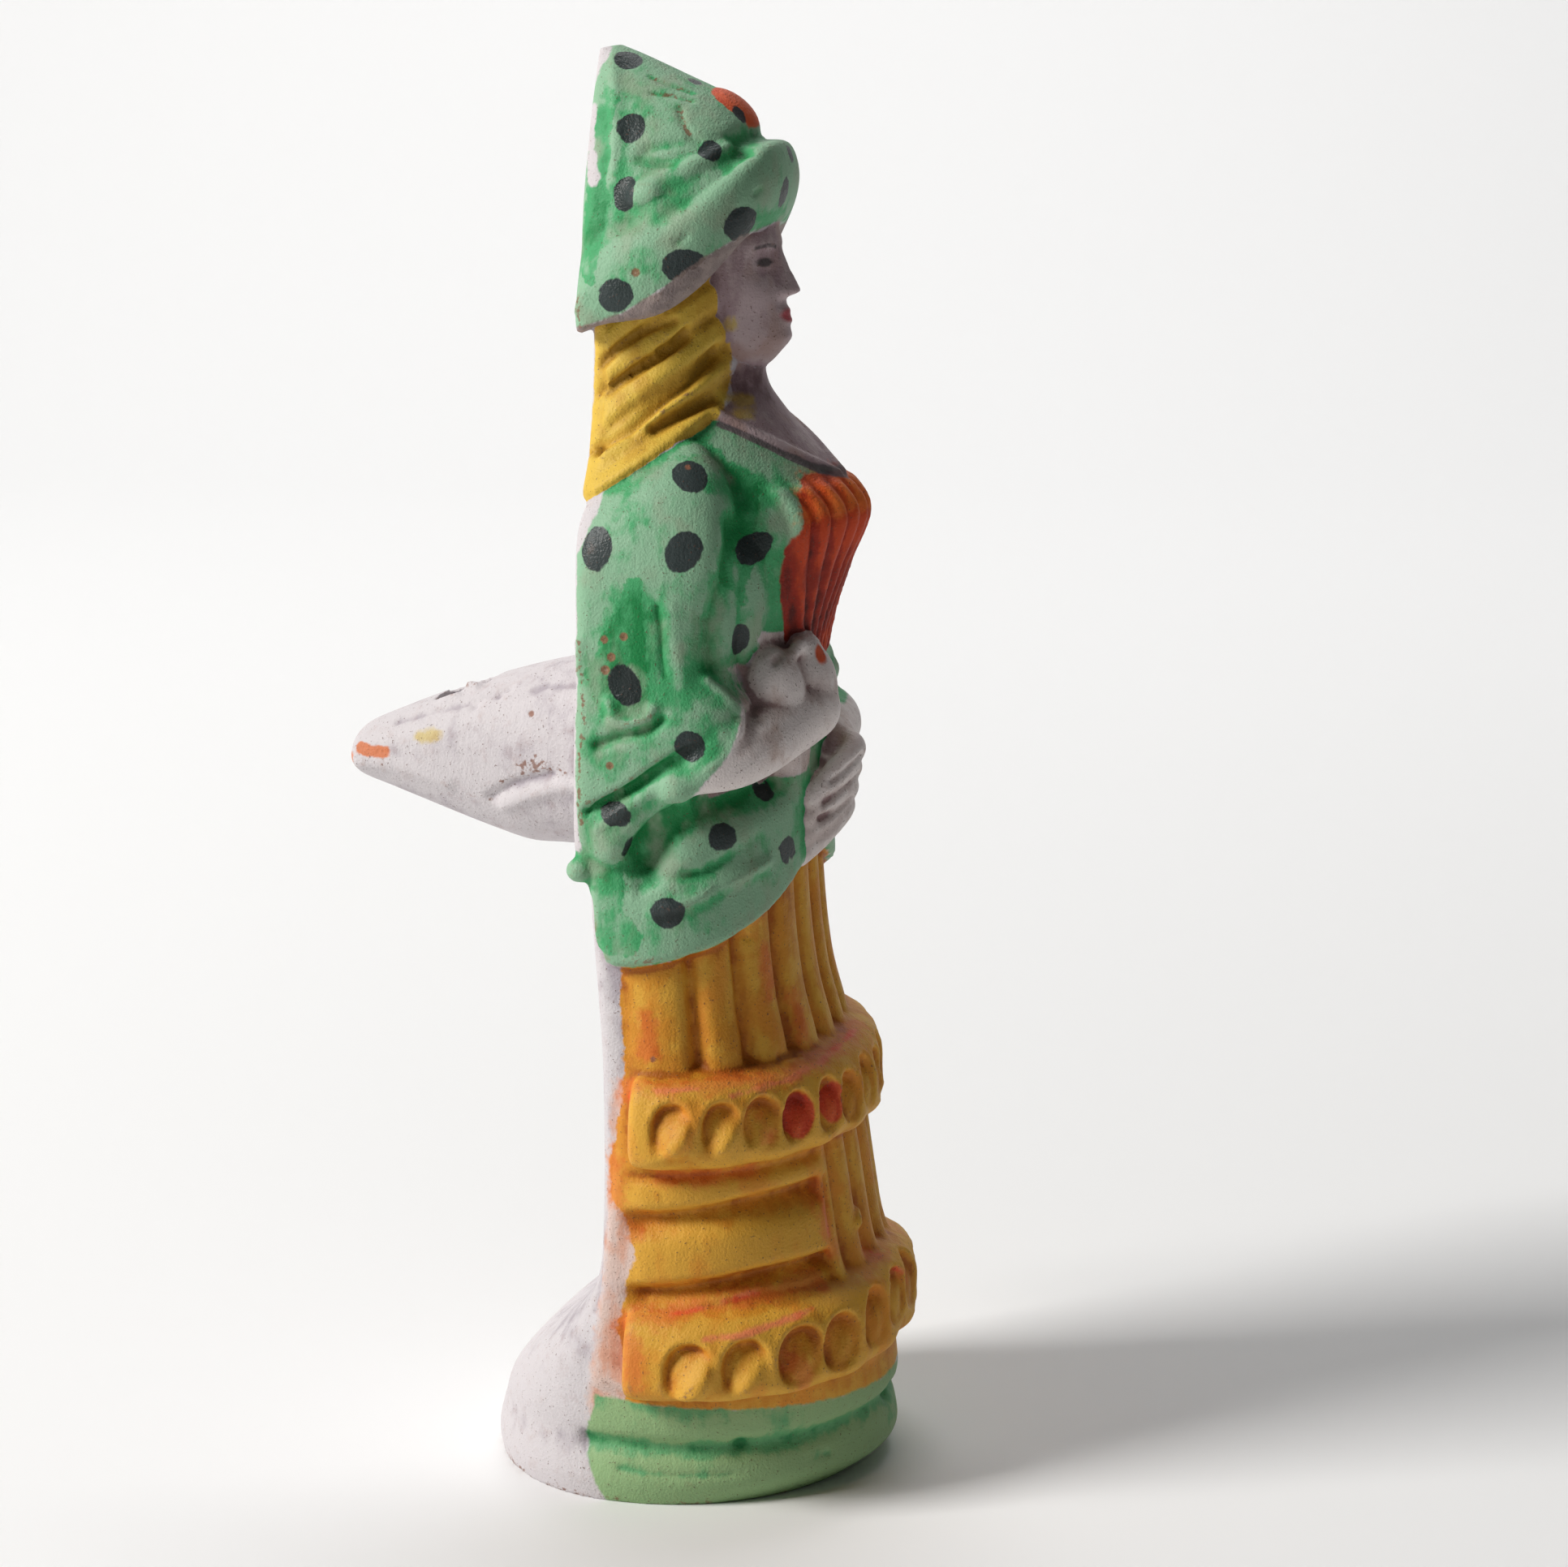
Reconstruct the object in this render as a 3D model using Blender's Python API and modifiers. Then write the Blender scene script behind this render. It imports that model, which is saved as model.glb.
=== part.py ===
"""A hand-painted clay figurine whistle: a standing woman pressed in a mould, a whistle luted to her back.

She faces -Y, +Z is up, and the origin is the middle of her flat underside. Her own right is at -X.
The figure and the whistle are one piece of fired clay, so everything here ends up as one solid.
"""

import math
from typing import NamedTuple

import bmesh
import bpy
import numpy as np
from mathutils import Matrix, Vector

# Driving sizes, in metres
FIGURE_HEIGHT = 0.200
WHISTLE_REACH = 0.0503  # from the figure's middle plane to the lips of the mouthpiece
WHISTLE_WALL = 0.0034
MOUTH_WIDTH = 0.0140
MOUTH_HEIGHT = 0.0066
WINDWAY_WIDTH = 0.0090
WINDWAY_HEIGHT = 0.0014
WINDWAY_LENGTH = 0.0120
WINDOW_WIDTH = 0.0075
WINDOW_LENGTH = 0.0052
WINDWAY_ROOF = 0.0027  # clay between the windway and the top of the mouthpiece
LUTING_FLARE = 0.0022  # how far the wet clay is smeared out round the whistle's root

# The figure's own forms are carved in units of a 200th of her height
UNIT = FIGURE_HEIGHT / 200

# How finely the clay is modelled
CLAY_GRAIN = 0.66 * UNIT
SMOOTHING_PASSES = 2
MOST_TRIANGLES = 8900
FRONT_COLUMNS = 180
BACK_COLUMNS = 40
ROW_STEP = 0.7

PAINT_COLOUR = (0.24, 0.43, 0.22, 1.0)
PAINT_ROUGHNESS = 0.6


class Hoop(NamedTuple):
    """One closed section: a front point and a back point as (y, z), and how wide it is between them."""

    front: tuple
    back: tuple
    half_width: float
    widest: float = 0.5
    front_power: float = 2.0
    back_power: float = 2.0
    centre_x: float = 0.0

    def numbers(self):
        """The hoop as a flat row of numbers, so that hoops can be blended."""
        return [*self.front, *self.back, self.half_width, self.widest, *self[4:]]


def level(z, half_width, widest_y, front_y, back_y, front_power=2.0, back_power=2.0, centre_x=0.0):
    """A hoop that lies level at height z, widest at widest_y."""
    widest = (widest_y - front_y) / (back_y - front_y)
    return Hoop((front_y, z), (back_y, z), half_width, widest, front_power, back_power, centre_x)


# The figure's sections, bottom to top: height, half width, widest y, front y, back y, powers
BODY = [
    level(-3.0, 26.0, 4.0, -20.0, 28.0, 2.0, 2.0),
    level(0.0, 27.2, 4.5, -23.8, 29.0, 2.0, 2.0),
    level(3.5, 28.0, 4.0, -28.0, 29.4, 2.0, 2.0),
    level(8.0, 27.2, 3.0, -27.8, 28.2, 2.0, 2.1),
    level(12.5, 27.8, 2.0, -28.2, 26.2, 2.0, 2.4),
    level(18.0, 27.8, 2.0, -27.4, 21.4, 2.1, 2.8),
    level(23.0, 27.8, 2.0, -26.8, 15.4, 2.2, 3.6),
    level(28.0, 27.8, 2.0, -26.0, 10.8, 2.3, 4.6),
    level(34.0, 27.6, 2.0, -23.8, 8.2, 2.3, 5.0),
    level(47.0, 27.8, 2.0, -21.6, 7.4, 2.3, 5.0),
    level(62.0, 27.4, 2.0, -19.0, 7.6, 2.3, 5.0),
    level(72.0, 26.8, 2.5, -16.4, 8.4, 2.3, 5.0),
    level(84.0, 26.2, 3.5, -15.0, 9.4, 2.4, 5.0),
    level(97.0, 25.0, 4.0, -14.8, 9.8, 2.4, 5.0),
    level(110.0, 24.0, 4.0, -15.4, 10.0, 2.3, 5.0),
    level(120.0, 23.0, 4.0, -16.4, 10.2, 2.2, 5.0),
    level(129.0, 22.6, 4.0, -19.4, 10.4, 2.0, 5.0),
    level(136.8, 21.6, 4.0, -22.4, 10.8, 1.9, 5.0),
    level(141.6, 19.6, 3.0, -19.8, 11.0, 1.8, 5.0),
    level(147.0, 16.4, 2.0, -14.2, 11.2, 1.9, 4.0),
    level(151.0, 12.0, 1.5, -10.8, 11.4, 2.0, 3.0),
    level(155.0, 8.0, 2.0, -8.8, 11.6, 2.0, 2.6),
    level(162.0, 7.0, 2.5, -8.4, 11.6, 2.0, 2.4),
]

# The right sleeve, a broad column that hangs from the shoulder and falls away behind the cuff
SLEEVE = [
    level(90.0, 3.0, 7.0, 5.0, 9.8, 2.0, 4.0, -23.5),
    level(93.0, 6.0, 6.0, 1.6, 10.0, 2.2, 4.0, -22.4),
    level(96.5, 8.0, 6.0, -1.6, 10.0, 2.4, 4.0, -21.4),
    level(101.0, 9.4, 6.0, -6.0, 9.8, 2.6, 4.0, -20.6),
    level(105.0, 9.8, 6.0, -10.0, 9.8, 2.6, 4.0, -20.2),
    level(108.5, 9.8, 6.0, -13.0, 9.8, 2.6, 4.0, -20.0),
    level(112.5, 9.4, 6.0, -13.2, 9.8, 2.6, 4.0, -19.8),
    level(117.0, 8.9, 6.0, -10.8, 9.8, 2.6, 4.0, -19.4),
    level(124.0, 8.8, 6.0, -11.2, 10.0, 2.6, 4.0, -19.0),
    Hoop((-11.8, 133.0), (10.2, 130.0), 8.8, 0.75, 2.6, 4.0, -18.8),
    Hoop((-10.4, 139.6), (10.4, 134.0), 8.4, 0.7, 2.3, 4.0, -18.2),
    Hoop((-8.0, 144.4), (10.4, 137.4), 7.2, 0.6, 2.1, 4.0, -17.2),
    Hoop((-4.8, 147.4), (9.6, 140.4), 5.0, 0.6, 2.0, 3.0, -16.0),
    Hoop((-1.0, 148.2), (7.0, 142.6), 2.4, 0.6, 2.0, 2.4, -15.0),
]

# The fold from the cuff back to the sleeve's lowest loop
CUFF_ROLL = [
    ((-25.6, 4.6, 95.4), 4.2),
    ((-25.4, -1.6, 99.4), 3.8),
    ((-24.6, -7.0, 103.6), 4.2),
    ((-22.4, -9.0, 109.0), 4.6),
]
# Balls of clay on each side: the loop, its knob, and the chest beside the sleeve
SLEEVE_BALLS = {
    "loop": ((-24.6, 4.0, 94.4), (5.2, 5.2, 4.6)),
    "knob": ((-27.2, 8.9, 90.4), (1.9, 1.9, 1.7)),
    "flank": ((-14.6, -6.6, 128.0), (7.0, 7.6, 14.0)),
}

# Frills round the skirt, from the top of each to its underside
LOWER_FRILL = [
    level(30.0, 26.0, 1.0, -25.0, 2.6, 2.2, 3.0),
    level(28.0, 30.2, 1.0, -28.6, 3.2, 2.3, 3.0),
    level(25.4, 31.8, 1.0, -29.8, 3.4, 2.3, 3.0),
    level(21.4, 32.6, 1.0, -30.2, 3.4, 2.3, 3.0),
    level(18.4, 32.6, 1.0, -30.0, 3.4, 2.3, 3.0),
    level(16.8, 30.6, 1.0, -28.4, 3.0, 2.3, 3.0),
    level(16.2, 26.0, 0.0, -24.0, 2.4, 2.2, 3.0),
]
UPPER_FRILL = [
    level(63.4, 26.0, -0.5, -18.0, 2.2, 2.2, 3.0),
    level(61.4, 30.2, -0.5, -22.4, 2.6, 2.2, 3.0),
    level(58.6, 31.8, -0.5, -24.4, 2.8, 2.1, 3.0),
    level(54.0, 32.6, -0.5, -25.4, 2.8, 2.0, 3.0),
    level(51.4, 32.2, -0.5, -25.0, 2.8, 2.0, 3.0),
    level(50.0, 30.4, -0.5, -23.0, 2.4, 2.0, 3.0),
    level(49.4, 26.0, -1.0, -18.0, 2.2, 2.0, 3.0),
]

HEAD = [
    level(155.4, 2.6, -4.0, -8.0, 0.0),
    level(157.6, 5.4, -3.0, -10.8, 4.0, 2.2),
    level(160.6, 7.0, -1.5, -12.2, 6.0, 2.3),
    level(165.0, 8.0, 0.0, -12.0, 8.0, 2.2),
    level(170.0, 8.6, 0.5, -11.4, 9.0, 2.2),
    level(175.0, 8.6, 1.0, -11.2, 9.0, 2.1),
    level(180.0, 7.6, 1.0, -9.0, 8.0, 2.0),
    level(184.0, 4.6, 1.0, -5.0, 5.0, 2.0),
]

# Hair from under the hat down over the shoulders, its hoops sloping down to the back
HAIR = [
    Hoop((-5.4, 176.0), (12.0, 166.0), 14.0, 0.8, 2.3, 3.4),
    Hoop((-6.0, 166.0), (12.0, 158.0), 14.4, 0.8, 2.3, 3.4),
    Hoop((-6.4, 159.0), (12.0, 151.0), 15.6, 0.8, 2.3, 3.4),
    Hoop((-7.0, 153.0), (11.8, 144.6), 18.4, 0.8, 2.3, 3.4),
    Hoop((-6.2, 149.6), (11.6, 139.8), 21.6, 0.8, 2.3, 3.4),
    Hoop((-2.0, 146.6), (10.6, 138.6), 19.0, 0.8, 2.3, 3.0),
]

# The hat, from the underside of its brim to the tip
HAT = [
    Hoop((-8.4, 177.2), (10.4, 164.8), 13.0, 0.8, 2.2, 3.0),
    Hoop((-10.2, 175.4), (12.8, 161.6), 18.2, 0.8, 2.3, 3.6),
    Hoop((-12.4, 178.4), (13.4, 163.0), 19.3, 0.8, 2.3, 3.6),
    Hoop((-13.3, 182.8), (13.4, 166.2), 18.8, 0.8, 2.3, 3.6),
    Hoop((-12.0, 186.7), (13.3, 169.2), 17.6, 0.8, 2.3, 3.6),
    Hoop((-8.6, 187.1), (13.3, 172.0), 15.8, 0.8, 2.3, 3.6),
    Hoop((-8.0, 188.2), (13.4, 175.4), 14.8, 0.8, 2.3, 3.6),
    Hoop((-7.6, 190.0), (13.4, 180.6), 13.5, 0.8, 2.3, 3.6),
    Hoop((-4.0, 193.0), (13.4, 187.0), 10.8, 0.8, 2.2, 3.4),
    Hoop((2.0, 195.8), (13.5, 192.6), 7.4, 0.8, 2.1, 3.0),
    Hoop((7.4, 198.2), (13.8, 197.0), 4.0, 0.7, 2.0, 2.4),
    Hoop((11.0, 199.9), (13.9, 199.3), 1.8, 0.5, 2.0, 2.0),
]
# How far the brim hangs down at each side
BRIM_DROOP = 4.8
# A fold of the crown that laps over the brim, on both sides
HAT_LAP = [
    ((-8.0, -6.0, 185.6), 1.8),
    ((-11.0, -2.4, 183.2), 2.7),
    ((-12.2, 1.4, 180.8), 3.0),
    ((-12.9, 3.2, 179.2), 2.6),
]

# Arms and hands, as rolls of clay: points as (x, y, z) with the radius there
RIGHT_FOREARM = [((-26.0, -5.0, 102.2), 3.9), ((-20.4, -11.8, 106.4), 5.0), ((-8.0, -17.6, 110.6), 4.7)]
RIGHT_HAND = [((-7.2, -17.4, 112.0), 4.4), ((-7.6, -17.2, 115.4), 4.2), ((-8.0, -16.6, 118.2), 3.2)]
RIGHT_FINGERS = ((-11.6, -14.6, 116.0), (3.4, 4.4, 5.2))
LEFT_FOREARM = [((25.0, -6.0, 104.0), 5.0), ((21.0, -12.6, 103.2), 4.8), ((6.0, -16.4, 103.0), 4.0)]
LEFT_PALM = [((6.0, -16.4, 102.4), 4.0), ((2.4, -16.8, 100.0), 4.4), ((0.0, -15.6, 97.4), 3.8)]
FINGERS = 4
FINGER_RADIUS = 1.8
FIRST_FINGER = [(5.4, -19.4, 103.8), (1.8, -21.6, 103.0), (-3.0, -19.8, 100.0), (-5.6, -17.2, 97.4)]
FINGER_DROP = 2.7

# Collar bands from the shoulders to the point of the neckline
COLLAR = [((-11.0, -5.4, 151.0), 0.9), ((-7.2, -12.8, 146.4), 1.1), ((-1.0, -19.6, 141.8), 1.2)]

# Relief worked into the surface: depths and places in the same units
# The seam behind the carving, as (height, y)
SEAM = [
    (14.0, 8.4),
    (23.7, 7.7),
    (36.5, 6.2),
    (47.6, 4.4),
    (60.7, 3.4),
    (67.0, 3.2),
    (76.0, 4.0),
    (80.0, 6.4),
    (88.0, 7.6),
    (99.0, 8.0),
    (141.0, 9.0),
]
HEM_BACK_Z = 77.5
HEM_FRONT_Z = 92.0
COAT_THICKNESS = 2.0
COAT_TOP_Z = 112.0
COAT_FOLD_PITCH = 7.4
COAT_FOLD_DEPTH = 0.7
SEAM_STEP = 0.6
# Grooves between the flutes, from 0 at her right side to 1 at her left
FLUTE_GROOVES = [0.123, 0.22, 0.33, 0.44, 0.53, 0.61, 0.70, 0.79, 0.877]
FLUTE_GROOVE_WIDTH = 0.014
FLUTE_DEPTH = 1.7
PANEL_HALF_WIDTH = 12.4
PANEL_FLUTES = 4
# Folds beside the panel: height at the back edge, rise to the front, depth, half widths above and below
SIDE_FOLDS = [
    (48.4, 0.6, 1.0, 0.5, 0.9),
    (42.4, 2.2, 2.7, 0.8, 2.6),
    (31.6, 2.4, 2.8, 0.9, 2.2),
    (28.2, 2.8, 0.8, 0.4, 0.8),
]
# Scallops round each frill: how many, how far the first is from the side in scallops, their top and bottom
# heights, their depth, how far the petal in each rises, and how much higher the frill lies at the front
LOWER_SCALLOPS = (13, 0.6, 25.4, 16.6, 2.3, 2.0, 3.0)
UPPER_SCALLOPS = (14, 0.29, 59.8, 51.8, 2.1, 1.7, 0.0)
PLEATS = 9
PLEAT_DEPTH = 1.2
BODICE_TOP_Z = 141.5
BODICE_TIP_Z = 117.0
BODICE_TOP_HALF_WIDTH = 13.5
SLEEVE_FOLD_PITCH = 5.1
SLEEVE_FOLD_SLOPE = 0.68
SLEEVE_FOLD_FIRST_Z = 102.9
SLEEVE_FOLD_DEPTH = 0.8
LOCK_PITCH = 4.6
LOCK_DEPTH = 1.1
LOCK_SLOPE = 0.75
HAT_FOLD_DEPTH = 0.5


def clear_scene():
    """Removes whatever the file opened with."""
    for found in list(bpy.data.objects):
        bpy.data.objects.remove(found, do_unlink=True)


def new_collection(name):
    """A collection linked to the scene."""
    collection = bpy.data.collections.new(name)
    bpy.context.scene.collection.children.link(collection)
    return collection


def painted_clay():
    """Fired clay under a green wash, the colour that covers most of the figure."""
    material = bpy.data.materials.new("painted_clay")
    material.use_nodes = True
    shader = material.node_tree.nodes["Principled BSDF"]
    shader.inputs["Base Color"].default_value = PAINT_COLOUR
    shader.inputs["Roughness"].default_value = PAINT_ROUGHNESS
    return material


def ease(value, low, high):
    """0 below low, 1 above high, and a smooth step between."""
    t = np.clip((value - low) / (high - low), 0.0, 1.0)
    return t * t * (3.0 - 2.0 * t)


def blended_rows(hoops, step):
    """The hoops' numbers with smooth rows between them, about a step apart (Catmull-Rom)."""
    rows = np.array([hoop.numbers() for hoop in hoops], float)
    padded = np.vstack([2 * rows[0] - rows[1], rows, 2 * rows[-1] - rows[-2]])
    made = []
    for before, low, high, after in zip(padded, padded[1:], padded[2:], padded[3:]):
        count = max(2, math.ceil(np.abs(high[:5] - low[:5]).max() / step))
        t = np.linspace(0.0, 1.0, count, endpoint=False)[:, None]
        slope_low, slope_high = (high - before) / 2, (after - low) / 2
        made.append(
            low * (2 * t**3 - 3 * t**2 + 1)
            + slope_low * (t**3 - 2 * t**2 + t)
            + high * (3 * t**2 - 2 * t**3)
            + slope_high * (t**3 - t**2)
        )
    return np.vstack([*made, rows[-1:]])


def half_outline(row, end, power, turns):
    """Points of half a superellipse: from one side, round by the end point, to the other side."""
    front, back = row[0:2], row[2:4]
    middle = front + row[5] * (back - front)
    c, s = np.cos(turns), np.sin(turns)
    across = row[8] + row[4] * np.sign(s) * np.abs(s) ** (2 / power)
    along = np.abs(c)[:, None] ** (2 / power) * (end - middle)
    return np.column_stack([across, middle + along])


def evenly_spaced(points, count):
    """Count points at equal lengths along a line of points, without its last point."""
    lengths = np.concatenate([[0.0], np.cumsum(np.linalg.norm(np.diff(points, axis=0), axis=1))])
    places = np.linspace(0.0, lengths[-1], count, endpoint=False)
    return np.column_stack([np.interp(places, lengths, points[:, axis]) for axis in range(3)])


def hoop_grid(hoops, step=ROW_STEP, front_columns=FRONT_COLUMNS, back_columns=BACK_COLUMNS):
    """A grid of points over the hoops, with the outward direction and the place along the front.

    The place runs from 0 at -X to 1 at +X along the front, and from 1 to 2 back behind.
    """
    turns = np.linspace(-math.pi / 2, math.pi / 2, 241)
    grid = []
    for row in blended_rows(hoops, step):
        front = half_outline(row, row[0:2], row[6], turns)
        back = half_outline(row, row[2:4], row[7], turns[::-1])
        grid.append(np.vstack([evenly_spaced(front, front_columns), evenly_spaced(back, back_columns)]))
    points = np.array(grid)
    along = np.roll(points, -1, axis=1) - np.roll(points, 1, axis=1)
    up = np.zeros_like(points)
    lean = points[:, front_columns + back_columns // 2] - points[:, front_columns // 2]
    up[:] = np.cross(lean, [-1.0, 0.0, 0.0])[:, None, :]
    outward = np.cross(along, up)
    outward /= np.linalg.norm(outward, axis=2, keepdims=True)
    place = np.concatenate(
        [np.arange(front_columns) / front_columns, 1.0 + np.arange(back_columns) / back_columns]
    )
    return points, outward, np.broadcast_to(place, points.shape[:2])


def grid_object(name, points):
    """A closed mesh object over a grid of rings, capped at both ends, in metres."""
    rows, columns = points.shape[:2]
    index = np.arange(rows * columns).reshape(rows, columns)
    right = np.roll(index, -1, axis=1)
    quads = np.stack([index[:-1], right[:-1], right[1:], index[1:]], axis=-1).reshape(-1, 4)
    mesh = bpy.data.meshes.new(name)
    caps = [index[0, ::-1].tolist(), index[-1].tolist()]
    mesh.from_pydata((points.reshape(-1, 3) * UNIT).tolist(), [], quads.tolist() + caps)
    mesh.update()
    made = bpy.data.objects.new(name, mesh)
    bpy.context.scene.collection.objects.link(made)
    return outward_facing(made)


def outward_facing(made):
    """Turns the faces of a closed mesh to point out."""
    work = bmesh.new()
    work.from_mesh(made.data)
    bmesh.ops.recalc_face_normals(work, faces=work.faces)
    work.to_mesh(made.data)
    work.free()
    return made


def loft(name, hoops, relief=None, rise=None):
    """A closed solid over the hoops, pushed out by the relief and raised by the rise where there is one."""
    points, outward, place = hoop_grid(hoops)
    lifted = 0.0 if rise is None else rise(points, place)
    if relief is not None:
        points = points + outward * relief(points, place)[..., None]
    points[..., 2] += lifted
    return grid_object(name, points)


def roll(name, path):
    """A tapered roll of clay along (point, radius) pairs, with round ends."""
    curve = bpy.data.curves.new(name, "CURVE")
    curve.dimensions = "3D"
    curve.bevel_depth = UNIT
    curve.bevel_resolution = 4
    curve.use_fill_caps = True
    curve.resolution_u = 10
    spline = curve.splines.new("BEZIER")
    spline.bezier_points.add(len(path) - 1)
    for point, (place, radius) in zip(spline.bezier_points, path):
        point.co = Vector(place) * UNIT
        point.radius = radius
        point.handle_left_type = point.handle_right_type = "AUTO"
    drawn = bpy.data.objects.new(name, curve)
    bpy.context.scene.collection.objects.link(drawn)
    made = mesh_copy(drawn)
    ends = [ball(f"{name}_end", place, (radius,) * 3) for place, radius in (path[0], path[-1])]
    return [made, *ends]


def mesh_copy(drawn):
    """A curve object as a mesh object with welded caps. The curve is removed."""
    evaluated = drawn.evaluated_get(bpy.context.evaluated_depsgraph_get())
    mesh = bpy.data.meshes.new_from_object(evaluated)
    work = bmesh.new()
    work.from_mesh(mesh)
    bmesh.ops.remove_doubles(work, verts=work.verts, dist=1e-6)
    work.to_mesh(mesh)
    work.free()
    made = bpy.data.objects.new(drawn.name, mesh)
    made.matrix_world = drawn.matrix_world
    bpy.context.scene.collection.objects.link(made)
    bpy.data.objects.remove(drawn, do_unlink=True)
    return made


def ball(name, centre, radii, lean=0.0):
    """An ellipsoid of clay, leaned about X."""
    mesh = bpy.data.meshes.new(name)
    work = bmesh.new()
    bmesh.ops.create_uvsphere(work, u_segments=32, v_segments=20, radius=1.0)
    work.to_mesh(mesh)
    work.free()
    stretched = Matrix.Diagonal((*[radius * UNIT for radius in radii], 1.0))
    mesh.transform(Matrix.Translation(Vector(centre) * UNIT) @ Matrix.Rotation(lean, 4, "X") @ stretched)
    made = bpy.data.objects.new(name, mesh)
    bpy.context.scene.collection.objects.link(made)
    return made


def mirrored(path):
    """The same path on her other side."""
    return [((-x, y, z), radius) for (x, y, z), radius in path]


def way_to_front(place):
    """0 behind and at both sides, 1 at the middle of the front."""
    return 1.0 - np.abs(2.0 * np.clip(place, 0.0, 1.0) - 1.0)


def hem_height(place):
    """The coat's hem: low behind, rising to the front."""
    return HEM_BACK_Z + (HEM_FRONT_Z - HEM_BACK_Z) * way_to_front(place) ** 1.5


def ridges(phase):
    """Round ridges with narrow grooves between them, one for each whole step of the phase."""
    return np.abs(np.sin(math.pi * phase)) ** 0.7


def bodice_edge(z):
    """Half width of the pleated bodice at a height."""
    share = np.clip((z - BODICE_TIP_Z) / (BODICE_TOP_Z - BODICE_TIP_Z), 0.0, 1.0)
    return 1.0 + (BODICE_TOP_HALF_WIDTH - 1.0) * share**0.6


def body_relief(points, place):
    """Flutes, the coat and its folds, and the pleated bodice."""
    x, y, z = np.moveaxis(points, -1, 0)
    seam_z, seam_y = np.array(SEAM).T
    front = ease(np.interp(z, seam_z, seam_y) - y, 0.0, 0.9)
    hem = hem_height(place)
    fluted = ease(-z, -hem - 0.4, -hem + 0.8) * ease(z, 60.0, 64.0)
    phase = np.interp(place, (0.0, *FLUTE_GROOVES, 1.0), range(len(FLUTE_GROOVES) + 2))
    grooves = sum(np.exp(-(((place - groove) / FLUTE_GROOVE_WIDTH) ** 2)) for groove in FLUTE_GROOVES)
    flutes = FLUTE_DEPTH * (0.5 * (ridges(phase) - 0.7) - 0.7 * grooves) * fluted
    in_panel = ease(-np.abs(x), -PANEL_HALF_WIDTH - 0.8, -PANEL_HALF_WIDTH)
    between_frills = ease(z, 27.0, 29.0) * ease(-z, -54.0, -51.0)
    panel = FLUTE_DEPTH * (ridges(x / (2 * PANEL_HALF_WIDTH) * PANEL_FLUTES + 0.5) - 0.6) * in_panel
    forward = ease(-y, -1.0, 18.0)
    side_folds = np.full_like(z, 0.7)
    for fold_z, rise, depth, above, below in SIDE_FOLDS:
        over = z - fold_z - rise * forward
        side_folds -= depth * np.exp(-((over / np.where(over > 0.0, above, below)) ** 2))
    side_folds = side_folds * (1.0 - in_panel) * ease(-y, -3.4, 0.4)
    coat = COAT_THICKNESS * ease(z, hem - 0.6, hem + 0.8) * ease(-z, -COAT_TOP_Z, -COAT_TOP_Z + 8.0)
    fold = COAT_FOLD_DEPTH * np.cos(2 * math.pi * (z - hem - 2.2) / COAT_FOLD_PITCH)
    coat = coat + fold * ease(z, hem, hem + 1.0) * ease(-z, -COAT_TOP_Z + 6.0, -COAT_TOP_Z + 12.0)
    edge = bodice_edge(z)
    in_bodice = ease(-np.abs(x), -edge - 0.5, -edge + 0.3) * ease(z, BODICE_TIP_Z, BODICE_TIP_Z + 2.0)
    in_bodice = in_bodice * ease(-z, -BODICE_TOP_Z - 0.5, -BODICE_TOP_Z + 0.5)
    pleats = PLEAT_DEPTH * (ridges(x / (2 * edge) * PLEATS + 0.5) - 0.3) * in_bodice
    step = SEAM_STEP * ease(z, 16.0, 18.0)
    return front * (flutes + between_frills * (panel + side_folds) + coat + pleats + step)


def frill_rise(place, front_rise):
    """How much higher the frill lies there than at the sides."""
    return front_rise * way_to_front(place) ** 1.4


def frill_relief(points, place, count, shift, top, bottom, depth, petal_rise, front_rise):
    """A row of oval dents, with a petal left standing in the lower part of each."""
    z = points[..., 2] - frill_rise(place, front_rise)
    turn = place * count - shift
    number = np.floor(turn)
    across = (turn - number - 0.5 + 0.05 * np.sin(number * 2.4 + count)) / 0.475
    rise = (2.0 * z - top - bottom) / (top - bottom)
    dent = ease(-((np.abs(across) ** 2.3 + np.abs(rise) ** 2.3) ** (1 / 2.3)), -1.0, -0.72)
    petal = np.sqrt(np.clip(1.0 - (across * 0.94 - 0.08) ** 2 - ((rise + 0.26) / 1.1) ** 2, 0.0, 1.0))
    forward = ease(way_to_front(place), 0.2, 0.5)
    crescent = ease(0.7 * rise - 0.7 * across, -0.5, 0.3)
    sunk = depth * (0.2 + 0.4 * forward + (0.8 - 0.4 * forward) * crescent)
    relief = (petal_rise * (1.0 - 0.6 * forward) * petal - sunk) * dent
    return np.where((place < 1.0) & (turn > 0.0) & (turn < count - 2 * shift), relief, 0.0)


def frill(name, hoops, scallops):
    """One frill, with its scallops."""
    return loft(
        name,
        hoops,
        lambda points, place: frill_relief(points, place, *scallops),
        lambda points, place: 0.6 * frill_rise(place, scallops[-1]),
    )


def hair_relief(points, place):
    """Locks that sweep down from the face to the back."""
    y, z = points[..., 1], points[..., 2]
    phase = (z + LOCK_SLOPE * y) / LOCK_PITCH
    return LOCK_DEPTH * (ridges(phase) - 0.5) * (place < 1.0)


def hat_relief(points, place):
    """Soft folds where the crown sinks into the brim."""
    y, z = points[..., 1], points[..., 2]
    phase = (z + 0.35 * y - 176.0) / 5.2
    crown = ease(z + 0.45 * y, 178.0, 181.0) * ease(-z, -194.0, -188.0)
    return HAT_FOLD_DEPTH * (ridges(phase) - 0.7) * crown * (place < 1.0)


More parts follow.
